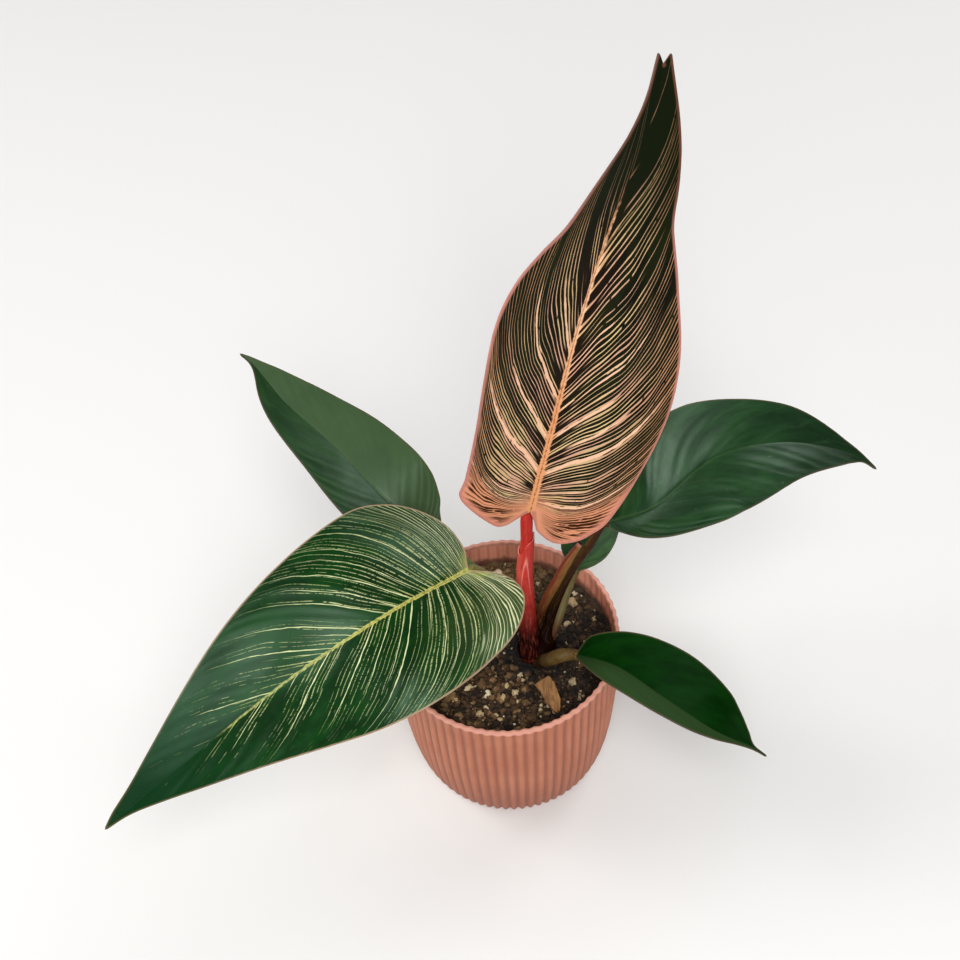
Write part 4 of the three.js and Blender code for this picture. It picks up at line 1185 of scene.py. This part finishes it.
soil = {
    "level": 68.0, "segments": 360, "rings": 78, "clear": 0.12, "seed": 11, "shreds": 80,
    "dark": color(26, 17, 10), "light": color(92, 66, 42), "pale": color(190, 166, 126),
    # the next colours and spot are painted shade round the stem and painted light at the back
    "paintedShade": color(44, 32, 26), "paintedShadeFar": color(92, 72, 60), "paintedLightBack": color(196, 164, 116),
    "shadeCentre": (0.011, -0.002, 0.07),
}

looseKinds = {
    "soil_crumbs": {
        "count": 1200, "size": (0.7, 1.4), "power": 2, "faces": 2, "rough": 0.95, "flatness": 0.8,
        "material": ("crumb", [color(26, 17, 10), color(92, 66, 40), color(152, 118, 78)], 0.92, 0.4),
    },
    "soil_grit": {
        "count": 2200, "size": (0.3, 0.45), "power": 1, "faces": 1, "rough": 0.5, "flatness": 0.8,
        "reach": 41.2,
        "material": ("grit", [color(30, 20, 12), color(106, 78, 48), color(184, 154, 112)], 0.92, 0.3),
    },
    "mineral_grains": {
        "count": 150, "size": (0.5, 0.8), "power": 2, "faces": 3, "rough": 0.6, "flatness": 0.85,
        "large": [
            (-8.8, -20.2, 1.7), (-3, -22.5, 1.8), (2, -20.7, 1.3), (-15.8, -16.9, 1.9),
            (-12.2, -28.8, 1.5), (-6.4, -28.9, 1.2), (-21.6, -22.2, 1.4), (28.3, 18.8, 1.9),
            (25.3, 9.4, 1.5), (-0.5, 35.5, 1.6), (-4.5, 34, 1.5), (24.9, -17.5, 1.7),
        ],
        "material": ("mineral", [color(196, 170, 126), color(232, 214, 174), color(252, 242, 216)],
                     0.85, 0.25, 0.6),
    },
}


def wallInside(x, y, z):
    return potRadius(z) - wallAt(z) - grooveAt(x, y, z, True)


def soilHeight(x, y):
    swell = 0.6 * math.sin(0.23 * x + 0.4) * math.cos(0.19 * y - 0.7)
    lumps = 0.55 * math.sin(0.62 * x - 0.5 * y) + 0.45 * math.sin(0.71 * y + 0.44 * x + 2)
    rough = noise.turbulence(Vector((x, y, 3)) / 3.2, 4, False) - 0.7
    return soil["level"] + swell + lumps + 0.8 * rough


def buildSoil():
    reach = potRadius(soil["level"]) - wallAt(soil["level"])
    count = soil["rings"]
    line = [(reach * k / count, soil["level"]) for k in range(count + 1)]
    line += [(reach - 0.3, 60), (reach - 2, 34), (reach - 5, 12), (33, 4.6), (0, 4.6)]
    bm = spinProfile(line, soil["segments"])
    for vert in bm.verts:
        x, y, z = vert.co / mm
        radius = math.hypot(x, y)
        limit = wallInside(x, y, z) - soil["clear"]
        if radius > limit:
            vert.co.x *= limit / radius
            vert.co.y *= limit / radius
        if z > soil["level"] - 0.01:
            dip = 1.2 * smooth((radius - 39) / 3)
            vert.co.z = (soilHeight(x, y) - dip) * mm
    return bm


# Painted shade on the soil: darker round the stem and towards one side, in patches, and painted light that
# makes it lighter at the back
def buildPaintedShade():
    tree, given, result = newGroup("paintedShade", {"Vector": None, "Color": None, "Share": 0.8}, ["Color"])
    x, y, z = split(given["Vector"])
    side = (noiseAt(given["Vector"], 90.0, 3.0) - 0.5) * 0.045 + x
    side = remap(side, 0.002, 0.03, 0.0, 0.75)
    away = addNode("VectorMath", {0: given["Vector"], 1: soil["shadeCentre"]}, "Value", operation="DISTANCE")
    byStem = remap(away, 0.007, 0.018)
    mask = (1.0 - byStem * (1.0 - side)) * given["Share"]
    shade = blendColor(byStem, soil["paintedShade"], soil["paintedShadeFar"])
    dark = blendColor(1.0, given["Color"], shade, "MULTIPLY")
    paintedLightBack = blendColor(remap(y, 0.008, 0.03, 0.0, 0.3), given["Color"], soil["paintedLightBack"])
    plug(result["Color"], blendColor(mask, paintedLightBack, dark))
    return tree


paintedShade = buildPaintedShade()


def soilMaterial():
    material, shader = newMaterial("soil_dark", 0.9)
    place = objectPlace()
    tone = noiseAt(place, 420.0, 5.0, 0.65)
    cell = makeNode("TexVoronoi", {"Vector": place, "Scale": 700.0}).outputs
    chance = split(Value(cell["Color"]))[0]
    fleck = remap(Value(cell["Distance"]), 0.1, 0.22, 1.0, 0.0) * remap(chance, 0.86, 0.9)
    surface = layered(soil["dark"], (remap(tone, 0.38, 0.66), soil["light"]), (fleck * 0.7, soil["pale"]))
    # painted shade round the stem and towards one side, and painted light at the back
    surface = useGroup(paintedShade, {"Vector": place, "Color": surface, "Share": 1.0})["Color"]
    rough = noiseAt(place, 1500.0, 4.0)
    coat(shader, surface, tone + rough, 0.5, remap(rough, 0.3, 0.7, 0.75, 1.0))
    return material


def tintedMaterial(name, tones, roughness, bump, paintedShadeShare=1.0):
    material, shader = newMaterial(name, roughness)
    place = objectPlace()
    share = split(attribute("tint"))[0]
    patch = noiseAt(place, 800.0, 4.0)
    surface = layered(tones[0], (remap(share, 0.0, 0.6), tones[1]), (remap(share, 0.6, 1.0), tones[2]),
                      (remap(patch, 0.4, 0.7, 0.0, 0.5), tones[0]))
    # the same painted shade and light as on the soil bed
    surface = useGroup(paintedShade, {"Vector": place, "Color": surface, "Share": paintedShadeShare})["Color"]
    coat(shader, surface, patch, bump)
    return material


def scatterSpot(rand, reach=40.6):
    while True:
        around = 2 * math.pi * rand.random()
        out = reach * math.sqrt(rand.random())
        x, y = out * math.cos(around), out * math.sin(around)
        if math.hypot(x - stem["centre"].x, y - stem["centre"].y) > 7:
            return x, y


def buildLumps(spots, faces, rand, rough, flatness):
    whole = bmesh.new()
    whole.verts.layers.float_vector.new("tint")
    for start in range(0, len(spots), 40):
        batch = buildLumpBatch(spots[start:start + 40], faces, rand, rough, flatness)
        mesh = bpy.data.meshes.new("batch")
        batch.to_mesh(mesh)
        batch.free()
        whole.from_mesh(mesh)
        bpy.data.meshes.remove(mesh)
    return whole


def buildLumpBatch(spots, faces, rand, rough, flatness):
    bm = bmesh.new()
    tint = bm.verts.layers.float_vector.new("tint")
    for x, y, size in spots:
        made = bmesh.ops.create_icosphere(bm, subdivisions=faces, radius=1.0)["verts"]
        seed = Vector((rand.random(), rand.random(), rand.random())) * 50
        shade = rand.random()
        axis = (rand.random() - 0.5, rand.random() - 0.5, rand.random() - 0.5)
        turn = Quaternion(axis, 6 * rand.random())
        stretch = Vector((1, 0.65 + 0.4 * rand.random(), flatness * (0.6 + 0.5 * rand.random())))
        place = Vector((x, y, soilHeight(x, y) + 0.25 * size))
        for vert in made:
            bulge = 1 + rough * noise.noise(vert.co * 1.6 + seed)
            vert[tint] = (shade, 0, 0)
            vert.co = (turn @ (vert.co * bulge * size * stretch) + place) * mm
    return bm


def buildShreds(count, rand):
    bm = bmesh.new()
    tint = bm.verts.layers.float_vector.new("tint")
    for _ in range(count):
        x, y = scatterSpot(rand, 38)
        length = 1.6 + 3.2 * rand.random()
        made = bmesh.ops.create_cube(bm, size=1.0)["verts"]
        edges = list({edge for vert in made for edge in vert.link_edges})
        made = bmesh.ops.subdivide_edges(bm, edges=edges, cuts=1, use_grid_fill=True)
        verts = [item for item in made["geom"] if isinstance(item, bmesh.types.BMVert)]
        ends = {vert for item in verts for edge in item.link_edges for vert in edge.verts}
        verts = list(ends | set(verts))
        size = Vector((length, 0.5 + 0.5 * rand.random(), 0.25 + 0.3 * rand.random()))
        turn = Quaternion((0, 0, 1), 6.28 * rand.random())
        turn = turn @ Quaternion((0, 1, 0), 0.5 * rand.random() - 0.25)
        seed = Vector((x, y, 0))
        shade = rand.random()
        for vert in verts:
            vert[tint] = (shade, 0, 0)
            bent = vert.co + 0.14 * noise.noise_vector(vert.co * 2 + seed)
            vert.co = (turn @ (bent * size) + Vector((x, y, soilHeight(x, y) + 0.45))) * mm
    return bm


makePiece("soil_bed", buildSoil(), [soilMaterial()], "soil")

rand = random.Random(soil["seed"])
for name, kind in looseKinds.items():
    least, more = kind["size"]
    spots = [(x, y, size * 1.1) for x, y, size in kind.get("large", [])]
    spots += [(*scatterSpot(rand, kind.get("reach", 40.6)), least + more * rand.random() ** kind["power"])
              for _ in range(kind["count"])]
    bm = buildLumps(spots, kind["faces"], rand, kind["rough"], kind["flatness"])
    makePiece(name, bm, [tintedMaterial(*kind["material"])])

shredTones = [color(60, 38, 26), color(112, 76, 48), color(160, 118, 78)]
shredMaterial = tintedMaterial("shred", shredTones, 0.85, 0.25)
makePiece("bark_shreds", buildShreds(soil["shreds"], rand), [shredMaterial])
print("soil made")


# Bark chip on the soil

chip = {
    "outline": [
        (-4.4, 3), (1.2, 6.6), (3.2, 3.4), (5, -3.4), (4.4, -8.4), (2.6, -9), (-1, -4.2), (-2.6, 0.6),
    ],
    "thickness": 1.5, "place": (14.2, -22.7, 69.9), "tilt": (0.1, 0.12),
    "dark": color(124, 82, 46), "light": color(178, 132, 82), "stain": color(86, 54, 36),
}


def buildChip():
    bm = bmesh.new()
    verts = [bm.verts.new((x, y, 0)) for x, y in chip["outline"]]
    face = bm.faces.new(verts)
    bmesh.ops.triangulate(bm, faces=[face])
    made = bmesh.ops.extrude_face_region(bm, geom=bm.faces[:])["geom"]
    top = [item for item in made if isinstance(item, bmesh.types.BMVert)]
    bmesh.ops.translate(bm, verts=top, vec=(0, 0, chip["thickness"]))
    bmesh.ops.subdivide_edges(bm, edges=bm.edges[:], cuts=9, use_grid_fill=True)
    bmesh.ops.triangulate(bm, faces=bm.faces[:])
    for vert in bm.verts:
        ridge = noise.noise(Vector((vert.co.x * 1.5, vert.co.y * 0.25, vert.co.z)))
        splinter = noise.noise_vector(vert.co * 0.9)
        vert.co.z += 0.35 * ridge
        vert.co += Vector((0.3 * splinter.x, 0.3 * splinter.y, 0))
    tilt = Matrix.Rotation(chip["tilt"][1], 4, "Y") @ Matrix.Rotation(chip["tilt"][0], 4, "X")
    bmesh.ops.transform(bm, matrix=Matrix.Translation(chip["place"]) @ tilt, verts=bm.verts)
    bmesh.ops.scale(bm, vec=(mm, mm, mm), verts=bm.verts)
    bmesh.ops.recalc_face_normals(bm, faces=bm.faces)
    return bm


def chipMaterial():
    material, shader = newMaterial("bark_chip", 0.8)
    place = objectPlace()
    drawn = addNode("Mapping", {"Vector": place, "Rotation": (0, 0, 0.25), "Scale": (900, 140, 500)})
    fibre = noiseAt(drawn, 1.0, 5.0, 0.6)
    stain = noiseAt(place, 220.0, 3.0)
    surface = layered(chip["dark"], (remap(fibre, 0.3, 0.7), chip["light"]),
                      (remap(stain, 0.55, 0.75, 0.0, 0.7), chip["stain"]))
    coat(shader, surface, fibre, 0.4)
    return material


makePiece("bark_flake", buildChip(), [chipMaterial()], "bark_chip")
print("bark chip made")


# Camera at the photograph's angle

view = {
    "elevation": 52, "roll": -4.6, "distance": 520, "target": (-5, 0, 178), "sensor": 36, "lens": 57,
}
elevation = math.radians(view["elevation"])
back = Vector((0, -math.cos(elevation), math.sin(elevation)))
cameraData = bpy.data.cameras.new("camera")
cameraData.sensor_width = view["sensor"]
cameraData.lens = view["lens"]
camera = bpy.data.objects.new("camera", cameraData)
camera.rotation_mode = "QUATERNION"
camera.location = (Vector(view["target"]) + back * view["distance"]) * mm
turn = Quaternion((0, 0, 1), math.radians(view["roll"]))
camera.rotation_quaternion = (-back).to_track_quat("-Z", "Y") @ turn
bpy.context.scene.collection.objects.link(camera)
bpy.context.scene.camera = camera


# Plain floor and soft studio light

def addLight(name, place, target, size, power, tint=(1, 1, 1)):
    data = bpy.data.lights.new(name, "AREA")
    data.shape = "RECTANGLE"
    data.size, data.size_y = size
    data.energy = power
    data.color = tint
    light = bpy.data.objects.new(name, data)
    light.location = place
    aim = Vector(target) - Vector(place)
    light.rotation_mode = "QUATERNION"
    light.rotation_quaternion = aim.to_track_quat("-Z", "Y")
    bpy.context.scene.collection.objects.link(light)


bm = bmesh.new()
bmesh.ops.create_grid(bm, x_segments=1, y_segments=1, size=4)
floorMesh = bpy.data.meshes.new("floor")
bm.to_mesh(floorMesh)
bm.free()
floor = bpy.data.objects.new("floor", floorMesh)
floorMaterial, shader = newMaterial("floor", 0.9, Base_Color=(0.86, 0.86, 0.86, 1))
floorMesh.materials.append(floorMaterial)
bpy.context.scene.collection.objects.link(floor)

world = bpy.data.worlds.new("studio")
world.use_nodes = True
world.node_tree.nodes["Background"].inputs["Color"].default_value = (1, 1, 1, 1)
world.node_tree.nodes["Background"].inputs["Strength"].default_value = 0.25
bpy.context.scene.world = world
bpy.context.scene.view_settings.view_transform = "Standard"

addLight("key", (0.04, -0.8, 1.25), (0, 0, 0.12), (0.5, 0.8), 11.4, (1.0, 0.98, 0.95))
addLight("low", (-0.2, -1.15, 0.66), (0, 0, 0.12), (0.6, 0.6), 3.1, (0.95, 0.98, 1.0))
addLight("left", (-1.2, 0.3, 1.15), (0, 0, 0.1), (0.9, 0.9), 13, (1.0, 0.98, 0.96))
addLight("right", (0.85, 0.75, 1.0), (0, 0, 0.15), (0.6, 0.6), 5)
print("camera and lights set")
